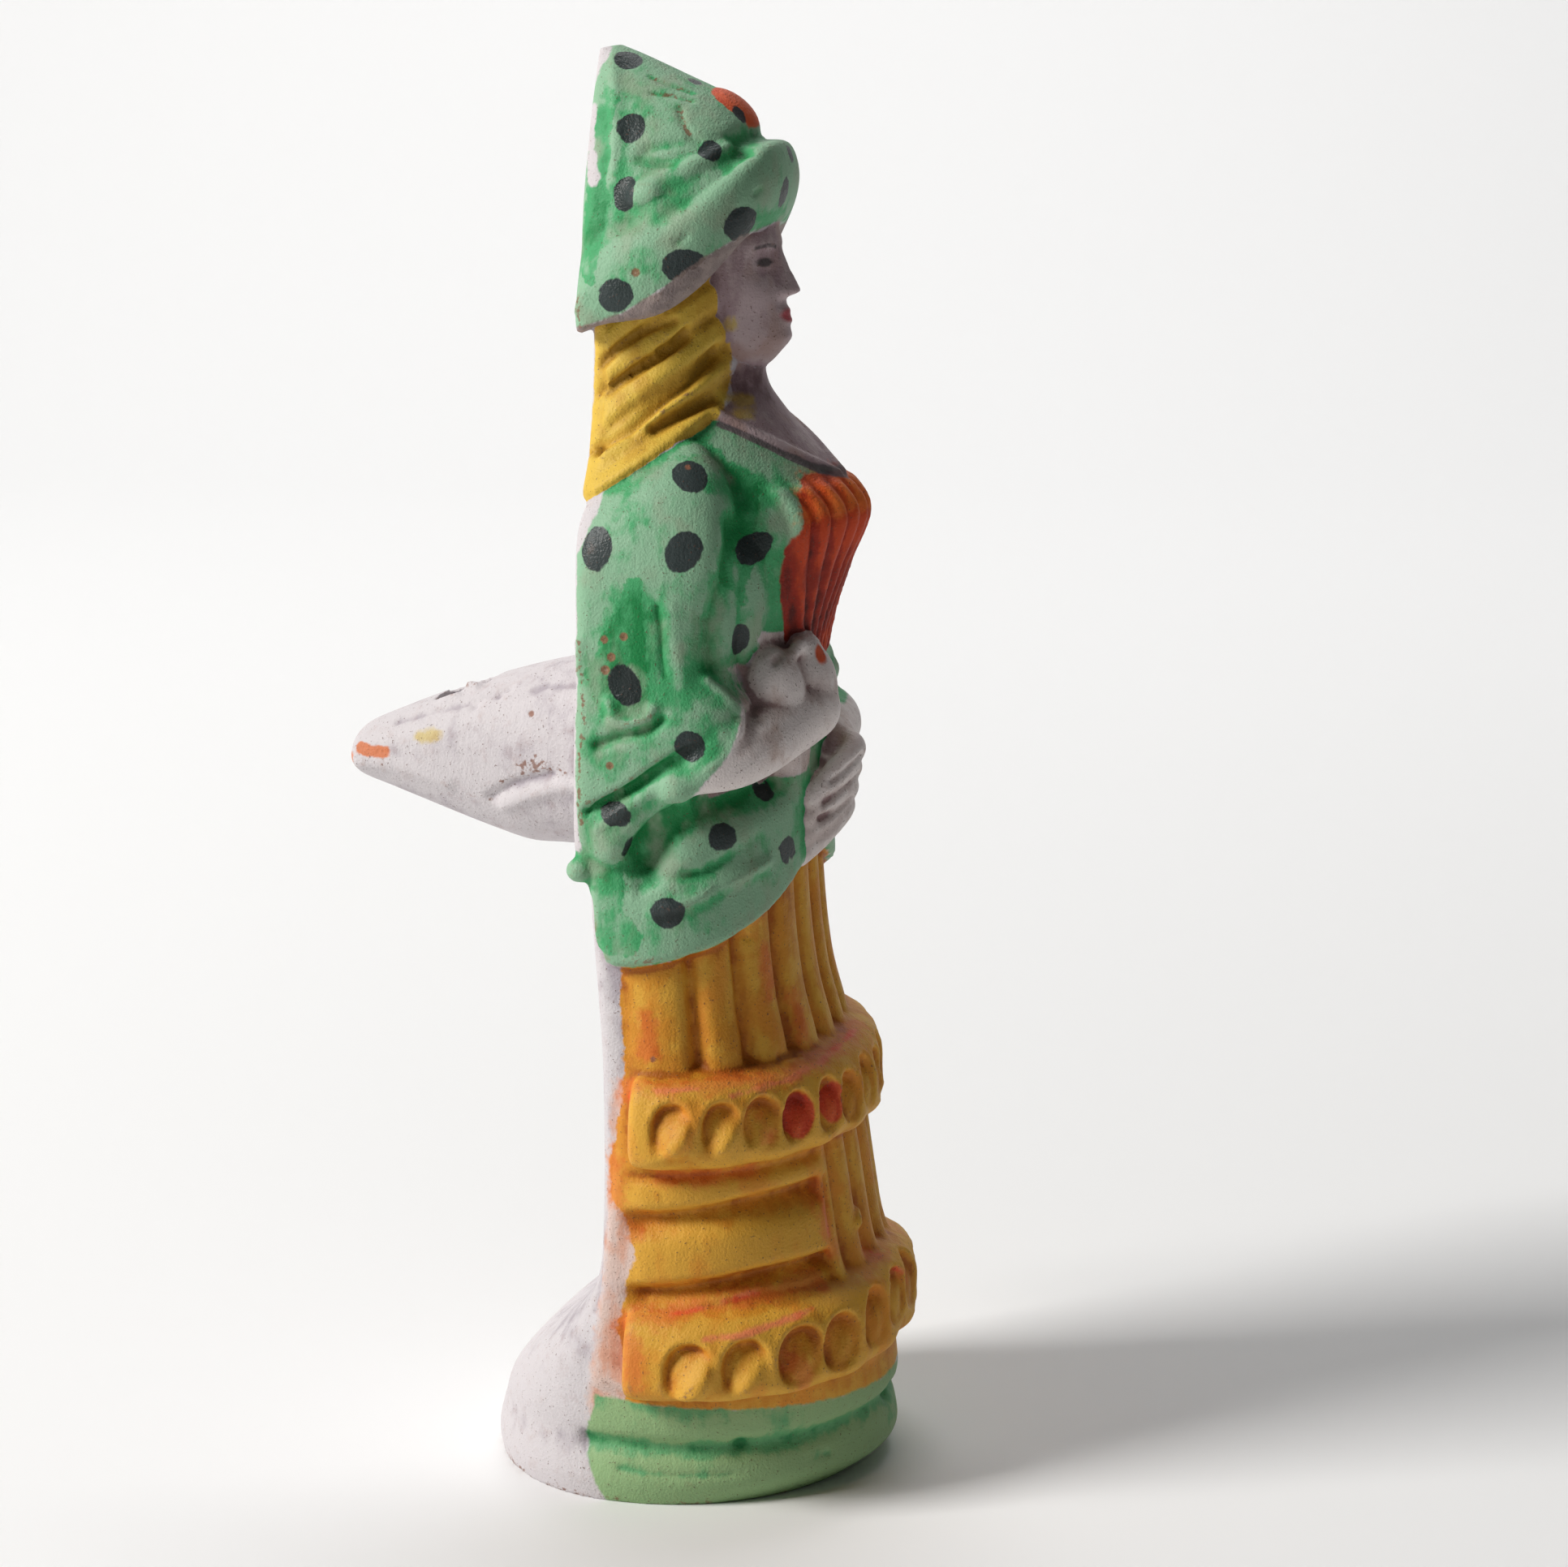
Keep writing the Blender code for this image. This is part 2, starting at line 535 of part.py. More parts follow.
def brim_droop(points, place):
    """The brim hangs down at each side, by a bell of y."""
    x, y, z = np.moveaxis(points, -1, 0)
    brim = ease(-(z + 0.62 * y), -176.0, -168.0) * ease(np.abs(x), 6.0, 14.0)
    return -BRIM_DROOP * np.exp(-(((y + 1.0) / 8.0) ** 2)) * brim


def sleeve_relief(points, place):
    """Folds that climb from the back edge to the cuff, with grooves between them."""
    y, z = points[..., 1], points[..., 2]
    slant = z + SLEEVE_FOLD_SLOPE * y
    phase = (slant - SLEEVE_FOLD_FIRST_Z) / SLEEVE_FOLD_PITCH
    fade = ease(-slant, -SLEEVE_FOLD_FIRST_Z - 2.5, -SLEEVE_FOLD_FIRST_Z)
    return -SLEEVE_FOLD_DEPTH * np.cos(2 * math.pi * phase) * fade * (place < 1.0)


def arms_and_sleeves():
    """Both sleeves, the forearms that come out of them, and the hands on her waist."""
    right = loft("right_sleeve", SLEEVE, sleeve_relief)
    left = loft("left_sleeve", [hoop._replace(centre_x=-hoop.centre_x) for hoop in SLEEVE], sleeve_relief)
    rolls = {
        "right_forearm": RIGHT_FOREARM,
        "left_forearm": LEFT_FOREARM,
        "right_hand": RIGHT_HAND,
        "right_cuff": CUFF_ROLL,
        "left_cuff": mirrored(CUFF_ROLL),
        "left_palm": LEFT_PALM,
        "right_collar": COLLAR,
        "left_collar": mirrored(COLLAR),
    }
    for finger in range(FINGERS):
        path = [((x, y + 0.5 * finger, z - finger * FINGER_DROP), FINGER_RADIUS) for x, y, z in FIRST_FINGER]
        rolls[f"finger_{finger}"] = path
    balls = [ball("right_fingers", *RIGHT_FINGERS)]
    for name, ((x, y, z), radii) in SLEEVE_BALLS.items():
        balls += [ball(f"right_{name}", (x, y, z), radii), ball(f"left_{name}", (-x, y, z), radii)]
    return [right, left, *balls, *[made for name, path in rolls.items() for made in roll(name, path)]]


def head_and_hat():
    """Head with a plain face set out by the usual proportions, hair, and the pointed hat."""
    chin_z, crown_z = 158.6, 183.0
    eye_z = (chin_z + crown_z) / 2
    nose_z = chin_z + (eye_z - chin_z) * 0.62
    mouth_z = chin_z + (eye_z - chin_z) * 0.40
    eye_x = 3.3
    return [
        loft("head", HEAD),
        ball("right_eye", (-eye_x, -10.6, eye_z), (2.0, 1.6, 1.2)),
        ball("left_eye", (eye_x, -10.6, eye_z), (2.0, 1.6, 1.2)),
        ball("nose", (0.0, -11.7, (nose_z + eye_z) / 2 - 1.0), (1.4, 2.2, 3.2), math.radians(-18)),
        ball("mouth", (0.0, -11.4, mouth_z), (2.4, 1.6, 1.0)),
        ball("chin", (0.0, -11.0, chin_z + 1.8), (2.6, 1.8, 1.8)),
        loft("hair", HAIR, hair_relief),
        loft("hat", HAT, hat_relief, brim_droop),
        *roll("right_lap", HAT_LAP),
        *roll("left_lap", mirrored(HAT_LAP)),
        ball("cockade", (0.0, -4.6, 190.6), (4.4, 4.6, 2.4), math.radians(38)),
    ]


class Whistle:
    """The whistle's places, in metres, worked out from its driving sizes."""

    def __init__(self):
        self.lips_y = WHISTLE_REACH
        self.lips_z = 100.0 * UNIT
        self.root_y = 8.4 * UNIT
        self.root_top = 116.0 * UNIT
        self.root_half_width = 14.0 * UNIT
        self.belly_y = 24.0 * UNIT
        self.belly_bottom = 88.2 * UNIT

    def share(self, y):
        """0 at the root, 1 at the lips."""
        return (y - self.root_y) / (self.lips_y - self.root_y)

    def top(self, y):
        """Height of the top line: a slightly bowed slope."""
        share = self.share(y)
        lips_top = self.lips_z + MOUTH_HEIGHT / 2
        return self.root_top + (lips_top - self.root_top) * share**1.55

    def bottom(self, y):
        """Height of the under line: level near the root, then rising straight to the lips."""
        rise = max(0.0, (y - self.belly_y) / (self.lips_y - self.belly_y))
        lips_bottom = self.lips_z - MOUTH_HEIGHT / 2
        return self.belly_bottom + (lips_bottom - self.belly_bottom) * rise**1.1

    def half_width(self, y):
        """Half width, narrowing to the mouthpiece."""
        return self.root_half_width + (MOUTH_WIDTH / 2 - self.root_half_width) * self.share(y) ** 1.3

    def hoop(self, y, inset=0.0):
        """The section at y, moved in from the surface by the inset."""
        top, bottom = self.top(y) - inset, self.bottom(y) + inset
        return Hoop(
            (y / UNIT, top / UNIT),
            (y / UNIT, bottom / UNIT),
            (self.half_width(y) - inset) / UNIT,
            0.5,
            2.3,
            2.3,
        )


def whistle_body(whistle):
    """The outside of the whistle: smeared wide at its root, and rounded at the lips."""
    stations = np.linspace(whistle.root_y, whistle.lips_y - 1.2 * UNIT, 9)
    flares = LUTING_FLARE * np.exp(-(stations - whistle.root_y) / LUTING_FLARE)
    hoops = [whistle.hoop(y, -flare) for y, flare in zip(stations, flares)]
    return loft("whistle", [*hoops, whistle.hoop(whistle.lips_y, 0.9 * UNIT)])


def chamber_cutter(whistle):
    """The sound chamber: the whistle's own form, one wall further in, closed at both ends."""
    start = whistle.root_y + WHISTLE_WALL
    end = whistle.lips_y - WINDWAY_LENGTH
    rounding = 3.0 * UNIT
    stations = [start + rounding, (start + end) / 2, end - rounding]
    hoops = [whistle.hoop(y, WHISTLE_WALL) for y in stations]
    first = whistle.hoop(start, WHISTLE_WALL + rounding)
    last = whistle.hoop(end, WHISTLE_WALL + 0.4 * rounding)
    points, _, _ = hoop_grid([first, *hoops, last], 3.0, 16, 16)
    return grid_object("chamber", points)


def box_cutter(name, size, place, tilt):
    """A box of that size, tilted about X."""
    mesh = bpy.data.meshes.new(name)
    work = bmesh.new()
    bmesh.ops.create_cube(work, size=1.0)
    work.to_mesh(mesh)
    work.free()
    mesh.transform(Matrix.Translation(place) @ Matrix.Rotation(tilt, 4, "X") @ Matrix.Diagonal((*size, 1.0)))
    made = bpy.data.objects.new(name, mesh)
    bpy.context.scene.collection.objects.link(made)
    return made


def voicing_cutters(whistle):
    """The windway, the window at its end and the ramp that brings the window's far edge to a blade."""
    window_start = whistle.lips_y - WINDWAY_LENGTH - WINDOW_LENGTH
    window_end = whistle.lips_y - WINDWAY_LENGTH
    tilt = -math.atan2(whistle.top(window_end) - whistle.top(whistle.lips_y), WINDWAY_LENGTH)
    windway_mid_y = whistle.lips_y - WINDWAY_LENGTH / 2
    windway_drop = WINDWAY_ROOF + WINDWAY_HEIGHT / 2
    windway_mid_z = whistle.top(windway_mid_y) - windway_drop / math.cos(tilt)
    windway = box_cutter(
        "windway",
        (WINDWAY_WIDTH, 1.6 * WINDWAY_LENGTH, WINDWAY_HEIGHT),
        Vector((0.0, windway_mid_y + 0.1 * WINDWAY_LENGTH, windway_mid_z)),
        tilt,
    )
    window_top = whistle.top(window_start) + 2.0 * UNIT
    window_floor = whistle.top(window_end) - WHISTLE_WALL - 2.0 * UNIT
    window = box_cutter(
        "window",
        (WINDOW_WIDTH, WINDOW_LENGTH, window_top - window_floor),
        Vector((0.0, (window_start + window_end) / 2, (window_top + window_floor) / 2)),
        0.0,
    )
    blade_z = whistle.top(window_start) - WHISTLE_WALL + 0.9 * UNIT
    ramp_length = 7.0 * UNIT
    ramp_tilt = tilt - math.radians(24)
    ramp_height = 5.0 * UNIT
    centre = Vector((0.0, window_start, blade_z)) + Matrix.Rotation(ramp_tilt, 3, "X") @ Vector(
        (0.0, -ramp_length / 2, ramp_height / 2)
    )
    ramp = box_cutter("ramp", (WINDOW_WIDTH, ramp_length, ramp_height), centre, ramp_tilt)
    return [windway, window, ramp]


def joined(name, pieces):
    """Several mesh objects joined into one."""
    first = pieces[0]
    chosen = {"active_object": first, "selected_objects": pieces, "selected_editable_objects": pieces}
    with bpy.context.temp_override(**chosen):
        bpy.ops.object.join()
    first.name = first.data.name = name
    return first


def pressed_together(figure):
    """Fuses the overlapping clay into one skin, softens it, and thins the mesh."""
    fuse = figure.modifiers.new("fuse", "REMESH")
    fuse.mode = "VOXEL"
    fuse.voxel_size = CLAY_GRAIN
    soften = figure.modifiers.new("soften", "SMOOTH")
    soften.iterations = SMOOTHING_PASSES
    soften.factor = 0.4
    fused = mesh_copy(figure)
    thin = fused.modifiers.new("thin", "DECIMATE")
    fused.data.calc_loop_triangles()
    thin.ratio = MOST_TRIANGLES / len(fused.data.loop_triangles)
    return mesh_copy(fused)


def cut(figure, cutters, collection):
    """Takes each cutter out of the figure."""
    for cutter in cutters:
        bpy.context.scene.collection.objects.unlink(cutter)
        collection.objects.link(cutter)
        cutter.hide_render = True
        cutter.display_type = "WIRE"
        hollow = figure.modifiers.new(f"cut_{cutter.name}", "BOOLEAN")
        hollow.operation = "DIFFERENCE"
        hollow.object = cutter


def main():
    """Builds the figurine whistle as one object."""
    clear_scene()
    parts = new_collection("figurine_whistle")
    cutters = new_collection("cutters")
    whistle = Whistle()
    clay = [
        loft("body", BODY, body_relief),
        frill("lower_frill", LOWER_FRILL, LOWER_SCALLOPS),
        frill("upper_frill", UPPER_FRILL, UPPER_SCALLOPS),
        *arms_and_sleeves(),
        *head_and_hat(),
        whistle_body(whistle),
    ]
    figure = pressed_together(joined("figurine", clay))
    figure.name = figure.data.name = "figurine"
    figure.data.materials.clear()
    figure.data.materials.append(painted_clay())
    table = box_cutter("table", (0.2, 0.2, 0.02), Vector((0.0, 0.0, -0.01)), 0.0)
    cut(figure, [table, chamber_cutter(whistle), *voicing_cutters(whistle)], cutters)
    bpy.context.scene.collection.objects.unlink(figure)
    parts.objects.link(figure)


main()
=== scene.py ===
"""Looks for a hand-painted clay figurine whistle: the pressed clay, its tool marks, and the washes of paint.

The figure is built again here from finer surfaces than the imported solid's, fused into one skin of clay,
marked with the maker's tools, and painted. Sizes are in millimetres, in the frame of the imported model:
she faces -Y, +Z is up, and her own right is at -X.
"""

import logging
import math
from collections.abc import Callable, Iterable, Sequence
from dataclasses import dataclass, field, replace
from enum import Enum

import bmesh
import bpy
import numpy as np
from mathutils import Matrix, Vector


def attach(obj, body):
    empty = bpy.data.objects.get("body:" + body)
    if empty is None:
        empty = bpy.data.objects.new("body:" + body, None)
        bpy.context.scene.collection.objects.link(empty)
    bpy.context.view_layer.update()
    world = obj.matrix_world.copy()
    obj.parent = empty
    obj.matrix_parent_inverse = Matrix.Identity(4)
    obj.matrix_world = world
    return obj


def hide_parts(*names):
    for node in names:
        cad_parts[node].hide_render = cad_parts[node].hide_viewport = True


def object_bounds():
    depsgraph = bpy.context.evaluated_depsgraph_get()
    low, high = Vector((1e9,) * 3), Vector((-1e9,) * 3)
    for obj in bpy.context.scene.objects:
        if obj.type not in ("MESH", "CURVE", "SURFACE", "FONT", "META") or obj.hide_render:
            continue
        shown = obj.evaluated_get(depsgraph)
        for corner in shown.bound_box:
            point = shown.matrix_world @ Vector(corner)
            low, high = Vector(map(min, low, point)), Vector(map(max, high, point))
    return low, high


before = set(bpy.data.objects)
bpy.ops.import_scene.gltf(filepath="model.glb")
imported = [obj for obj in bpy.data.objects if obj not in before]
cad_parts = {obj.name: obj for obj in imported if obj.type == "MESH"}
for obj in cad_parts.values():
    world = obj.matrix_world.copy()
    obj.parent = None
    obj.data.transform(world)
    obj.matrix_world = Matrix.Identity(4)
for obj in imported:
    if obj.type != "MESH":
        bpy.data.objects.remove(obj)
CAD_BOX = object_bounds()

LOG = logging.getLogger("figurine")
Array = np.ndarray
Point = tuple[float, float, float]
Line = tuple[Point, ...]
Ball = tuple[Point, Point]
Roll = tuple[tuple[Point, float], ...]
MILLIMETRE = 0.001


class Clay(Enum):
    """The lumps that are pressed together into the figure."""

    BODY = 0
    FRILL = 1
    SLEEVE = 2
    FOREARM = 3
    HAND = 4
    COLLAR = 5
    HEAD = 6
    HAIR = 7
    HAT = 8
    COCKADE = 9
    WHISTLE = 10


# Surfaces


def smooth_step(value: Array, low: float | Array, high: float | Array) -> Array:
    """0 below low, 1 above high, and 3t^2 - 2t^3 between.

    Args:
        value: Numbers to judge.
        low: Where the step starts.
        high: Where it ends.

    Returns:
        The step's height at each value.
    """
    t = np.clip((value - low) / (high - low), 0.0, 1.0)
    return t * t * (3.0 - 2.0 * t)


def hump(value: Array, middle: float | Array, spread: float) -> Array:
    """A bell of height 1 at the middle: exp(-((value - middle) / spread)^2)."""
    return np.exp(-(((value - middle) / spread) ** 2))


def round_ridges(phase: Array) -> Array:
    """Round ridges with narrow grooves at whole numbers of the phase: |sin(pi phase)|^0.7."""
    return np.abs(np.sin(math.pi * phase)) ** 0.7


def through(rows: Array, step: float) -> Array:
    """Rows of numbers with smooth ones between (Catmull-Rom: a row's slope is half of its neighbours' gap).

    Args:
        rows: The rows to pass through.
        step: The most that the first five numbers of a row may change from one made row to the next.

    Returns:
        The given rows with the made ones between.
    """
    padded = np.vstack([2 * rows[0] - rows[1], rows, 2 * rows[-1] - rows[-2]])
    made = []
    for before, low, high, after in zip(padded, padded[1:], padded[2:], padded[3:]):
        count = max(2, math.ceil(np.abs(high[:5] - low[:5]).max() / step))
        t = np.linspace(0.0, 1.0, count, endpoint=False)[:, None]
        slope_low, slope_high = (high - before) / 2, (after - low) / 2
        made.append(
            low * (2 * t**3 - 3 * t**2 + 1)
            + slope_low * (t**3 - 2 * t**2 + t)
            + high * (3 * t**2 - 2 * t**3)
            + slope_high * (t**3 - t**2)
        )
    return np.vstack([*made, rows[-1:]])


@dataclass
class Lump:
    """A closed skin of clay.

    Attributes:
        clay: Which lump it is.
        points: Its vertices, in millimetres.
        faces: Vertex numbers of each face.
        to_front: At each vertex, 0 at the figure's sides and behind, rising to 1 at the middle of the front.
    """

    clay: Clay
    points: Array
    faces: list[list[int]]
    to_front: Array


def ringed(clay: Clay, points: Array, to_front: Array | None = None) -> Lump:
    """A closed lump over a grid of rings: a quad between each four neighbours, and a cap at both ends.

    Args:
        clay: Which lump it is.
        points: Rings of points, shaped rings x columns x 3.
        to_front: How far each point is to the front, if that matters.

    Returns:
        The lump.
    """
    rows, columns = points.shape[:2]
    index = np.arange(rows * columns).reshape(rows, columns)
    right = np.roll(index, -1, axis=1)
    quads = np.stack([index[:-1], right[:-1], right[1:], index[1:]], axis=-1).reshape(-1, 4)
    caps = [index[0, ::-1].tolist(), index[-1].tolist()]
    front = np.zeros((rows, columns)) if to_front is None else to_front
    return Lump(clay, points.reshape(-1, 3), quads.tolist() + caps, front.ravel())


@dataclass(frozen=True)
class Hoop:
    """One closed section: half a superellipse to the front point and half to the back point.

    Attributes:
        front, back: Its front and back point, as (y, z).
        half_width: Half its width.
        widest: Where it is widest, as a share of the way from front to back.
        front_power, back_power: 2 is round, more is squarer.
        centre_x: Its middle, across.
    """

    front: tuple[float, float]
    back: tuple[float, float]
    half_width: float
    widest: float = 0.5
    front_power: float = 2.0
    back_power: float = 2.0
    centre_x: float = 0.0

    def numbers(self) -> list[float]:
        """The hoop as a row of numbers."""
        shape = (self.half_width, self.widest, self.front_power, self.back_power, self.centre_x)
        return [*self.front, *self.back, *shape]


def level(
    z: float,
    half_width: float,
    widest_y: float,
    front_y: float,
    back_y: float,
    front_power: float = 2.0,
    back_power: float = 2.0,
    centre_x: float = 0.0,
) -> Hoop:
    """A hoop that lies level at height z, widest at widest_y."""
    widest = (widest_y - front_y) / (back_y - front_y)
    return Hoop((front_y, z), (back_y, z), half_width, widest, front_power, back_power, centre_x)


@dataclass
class Loft:
    """A skin over a stack of hoops.

    Attributes:
        hoops: The sections, in order.
        row_step: Distance between rows.
        front_columns: Points along the front half of each row.
        back_columns: Points along the back half.
        points: The grid, rows x columns x 3.
        outward: The direction out of the skin at each point of the grid.
        place: Where in its row a point is: 0 to 1 along the front half, 1 to 2 along the back half.
    """

    hoops: Sequence[Hoop]
    row_step: float = 0.6
    front_columns: int = 220
    back_columns: int = 70
    points: Array = field(init=False)
    outward: Array = field(init=False)
    place: Array = field(init=False)

    def __post_init__(self) -> None:
        """Works out the grid: rows through the hoops, each cut into equal lengths, front half then back half.

        A point of a half row is middle + cos(t)^(2/power) (end - middle) along, and half_width
        sin(t)^(2/power) across, for t from -90 to 90 degrees. The outward direction is the cross
        product of the row's direction and the direction square to the hoop's plane.
        """
        turns = np.linspace(-math.pi / 2, math.pi / 2, 241)
        rows = through(np.array([hoop.numbers() for hoop in self.hoops]), self.row_step)
        fronts = [self._half(row, row[0:2], row[6], turns, self.front_columns) for row in rows]
        backs = [self._half(row, row[2:4], row[7], turns[::-1], self.back_columns) for row in rows]
        self.points = np.concatenate([fronts, backs], axis=1)
        along = np.roll(self.points, -1, axis=1) - np.roll(self.points, 1, axis=1)
        back_middle = self.front_columns + self.back_columns // 2
        lean = self.points[:, back_middle] - self.points[:, self.front_columns // 2]
        up = np.cross(lean, [-1.0, 0.0, 0.0])[:, None, :]
        outward = np.cross(along, np.broadcast_to(up, along.shape))
        self.outward = outward / np.linalg.norm(outward, axis=2, keepdims=True)
        front = np.arange(self.front_columns) / self.front_columns
        back = 1.0 + np.arange(self.back_columns) / self.back_columns
        self.place = np.broadcast_to(np.concatenate([front, back]), self.points.shape[:2])

    @staticmethod
    def _half(row: Array, end: Array, power: float, turns: Array, count: int) -> Array:
        """Half of a row, from one side round by the end point to the other side, at equal lengths."""
        front, back = row[0:2], row[2:4]
        middle = front + row[5] * (back - front)
        c, s = np.cos(turns), np.sin(turns)
        across = row[8] + row[4] * np.sign(s) * np.abs(s) ** (2 / power)
        along = np.abs(c)[:, None] ** (2 / power) * (end - middle)
        line = np.column_stack([across, middle + along])
        lengths = np.concatenate([[0.0], np.cumsum(np.linalg.norm(np.diff(line, axis=0), axis=1))])
        places = np.linspace(0.0, lengths[-1], count, endpoint=False)
        return np.column_stack([np.interp(places, lengths, line[:, axis]) for axis in range(3)])

    @property
    def to_front(self) -> Array:
        """0 at both sides and behind, 1 at the middle of the front."""
        return 1.0 - np.abs(2.0 * np.clip(self.place, 0.0, 1.0) - 1.0)

    def lump(self, clay: Clay, relief: Array | float = 0.0) -> Lump:
        """The skin as a lump, each point moved outward by the relief."""
        shift = np.broadcast_to(relief, self.points.shape[:2])[..., None]
        return ringed(clay, self.points + self.outward * shift, self.to_front)


def roll(clay: Clay, path: Roll, side_of: float = 1.0, sides: int = 40) -> Lump:
    """A tapered roll of clay: circles carried square to a smooth line, closed by a half ball at each end.

    Args:
        clay: Which lump it is.
        path: Points of the line, each with the radius there.
        side_of: 1 for the roll as it is, -1 for the one on her other side.
        sides: Points round each circle.

    Returns:
        The lump.
    """
    rows = through(np.array([[side_of * x, y, z, radius, 0.0] for (x, y, z), radius in path]), 0.5)
    line, radius = rows[:, :3], rows[:, 3]
    ahead = np.gradient(line, axis=0)
    ahead /= np.linalg.norm(ahead, axis=1, keepdims=True)
    bend = np.linspace(0.0, math.pi / 2, 9)[1:]
    start = line[0] - ahead[0] * radius[0] * np.sin(bend[::-1])[:, None]
    end = line[-1] + ahead[-1] * radius[-1] * np.sin(bend)[:, None]
    centres = np.vstack([start, line, end])
    radii = np.concatenate([radius[0] * np.cos(bend[::-1]), radius, radius[-1] * np.cos(bend)])
    directions = np.vstack([np.repeat(ahead[:1], 8, axis=0), ahead, np.repeat(ahead[-1:], 8, axis=0)])
    side = np.cross(directions, [0.13, 0.21, 0.97])
    side /= np.linalg.norm(side, axis=1, keepdims=True)
    other = np.cross(directions, side)
    turn = np.linspace(0.0, 2 * math.pi, sides, endpoint=False)[None, :, None]
    circle = np.cos(turn) * side[:, None, :] + np.sin(turn) * other[:, None, :]
    return ringed(clay, centres[:, None, :] + np.maximum(radii, 0.02)[:, None, None] * circle)


def ball(clay: Clay, centre: Point, radii: Point, lean: float = 0.0) -> Lump:
    """An ellipsoid, leaned about X by that many degrees: radii times (cos a cos b, cos a sin b, sin a)."""
    rise = np.linspace(-0.499 * math.pi, 0.499 * math.pi, 40)[:, None]
    turn = np.linspace(0.0, 2 * math.pi, 56, endpoint=False)[None, :]
    axes = np.broadcast_arrays(np.cos(rise) * np.cos(turn), np.cos(rise) * np.sin(turn), np.sin(rise))
    shape = turned_about_x(np.stack(axes, axis=-1) * np.array(radii), math.radians(lean))
    return ringed(clay, shape + np.array(centre))


def turned_about_x(points: Array, angle: float) -> Array:
    """Points turned about X by an angle in radians."""
    c, s = math.cos(angle), math.sin(angle)
    x, y, z = np.moveaxis(points, -1, 0)
    return np.stack([x, c * y - s * z, s * y + c * z], axis=-1)


def placed(name: str, data: bpy.types.ID) -> bpy.types.Object:
    """A new object in the scene."""
    made = bpy.data.objects.new(name, data)
    bpy.context.scene.collection.objects.link(made)
    return made


def as_object(lump: Lump) -> bpy.types.Object:
    """A lump as a mesh object in metres, its faces turned out."""
    mesh = bpy.data.meshes.new(lump.clay.name.lower())
    mesh.from_pydata((lump.points * MILLIMETRE).tolist(), [], lump.faces)
    work = bmesh.new()
    work.from_mesh(mesh)
    bmesh.ops.recalc_face_normals(work, faces=work.faces)
    work.to_mesh(mesh)
    work.free()
    return placed(mesh.name, mesh)


def applied(piece: bpy.types.Object) -> bpy.types.Mesh:
    """A new mesh with the object's modifiers in it."""
    return bpy.data.meshes.new_from_object(piece.evaluated_get(bpy.context.evaluated_depsgraph_get()))


def mesh_numbers(mesh: bpy.types.Mesh, of: str, name: str, width: int) -> Array:
    """Reads one property of all vertices, edges or loops of a mesh as an array."""
    found = getattr(mesh, of)
    values = np.empty(len(found) * width, np.int32 if name == "vertices" else np.float64)
    found.foreach_get(name, values)
    return values.reshape(-1, width)


# The figure's lumps


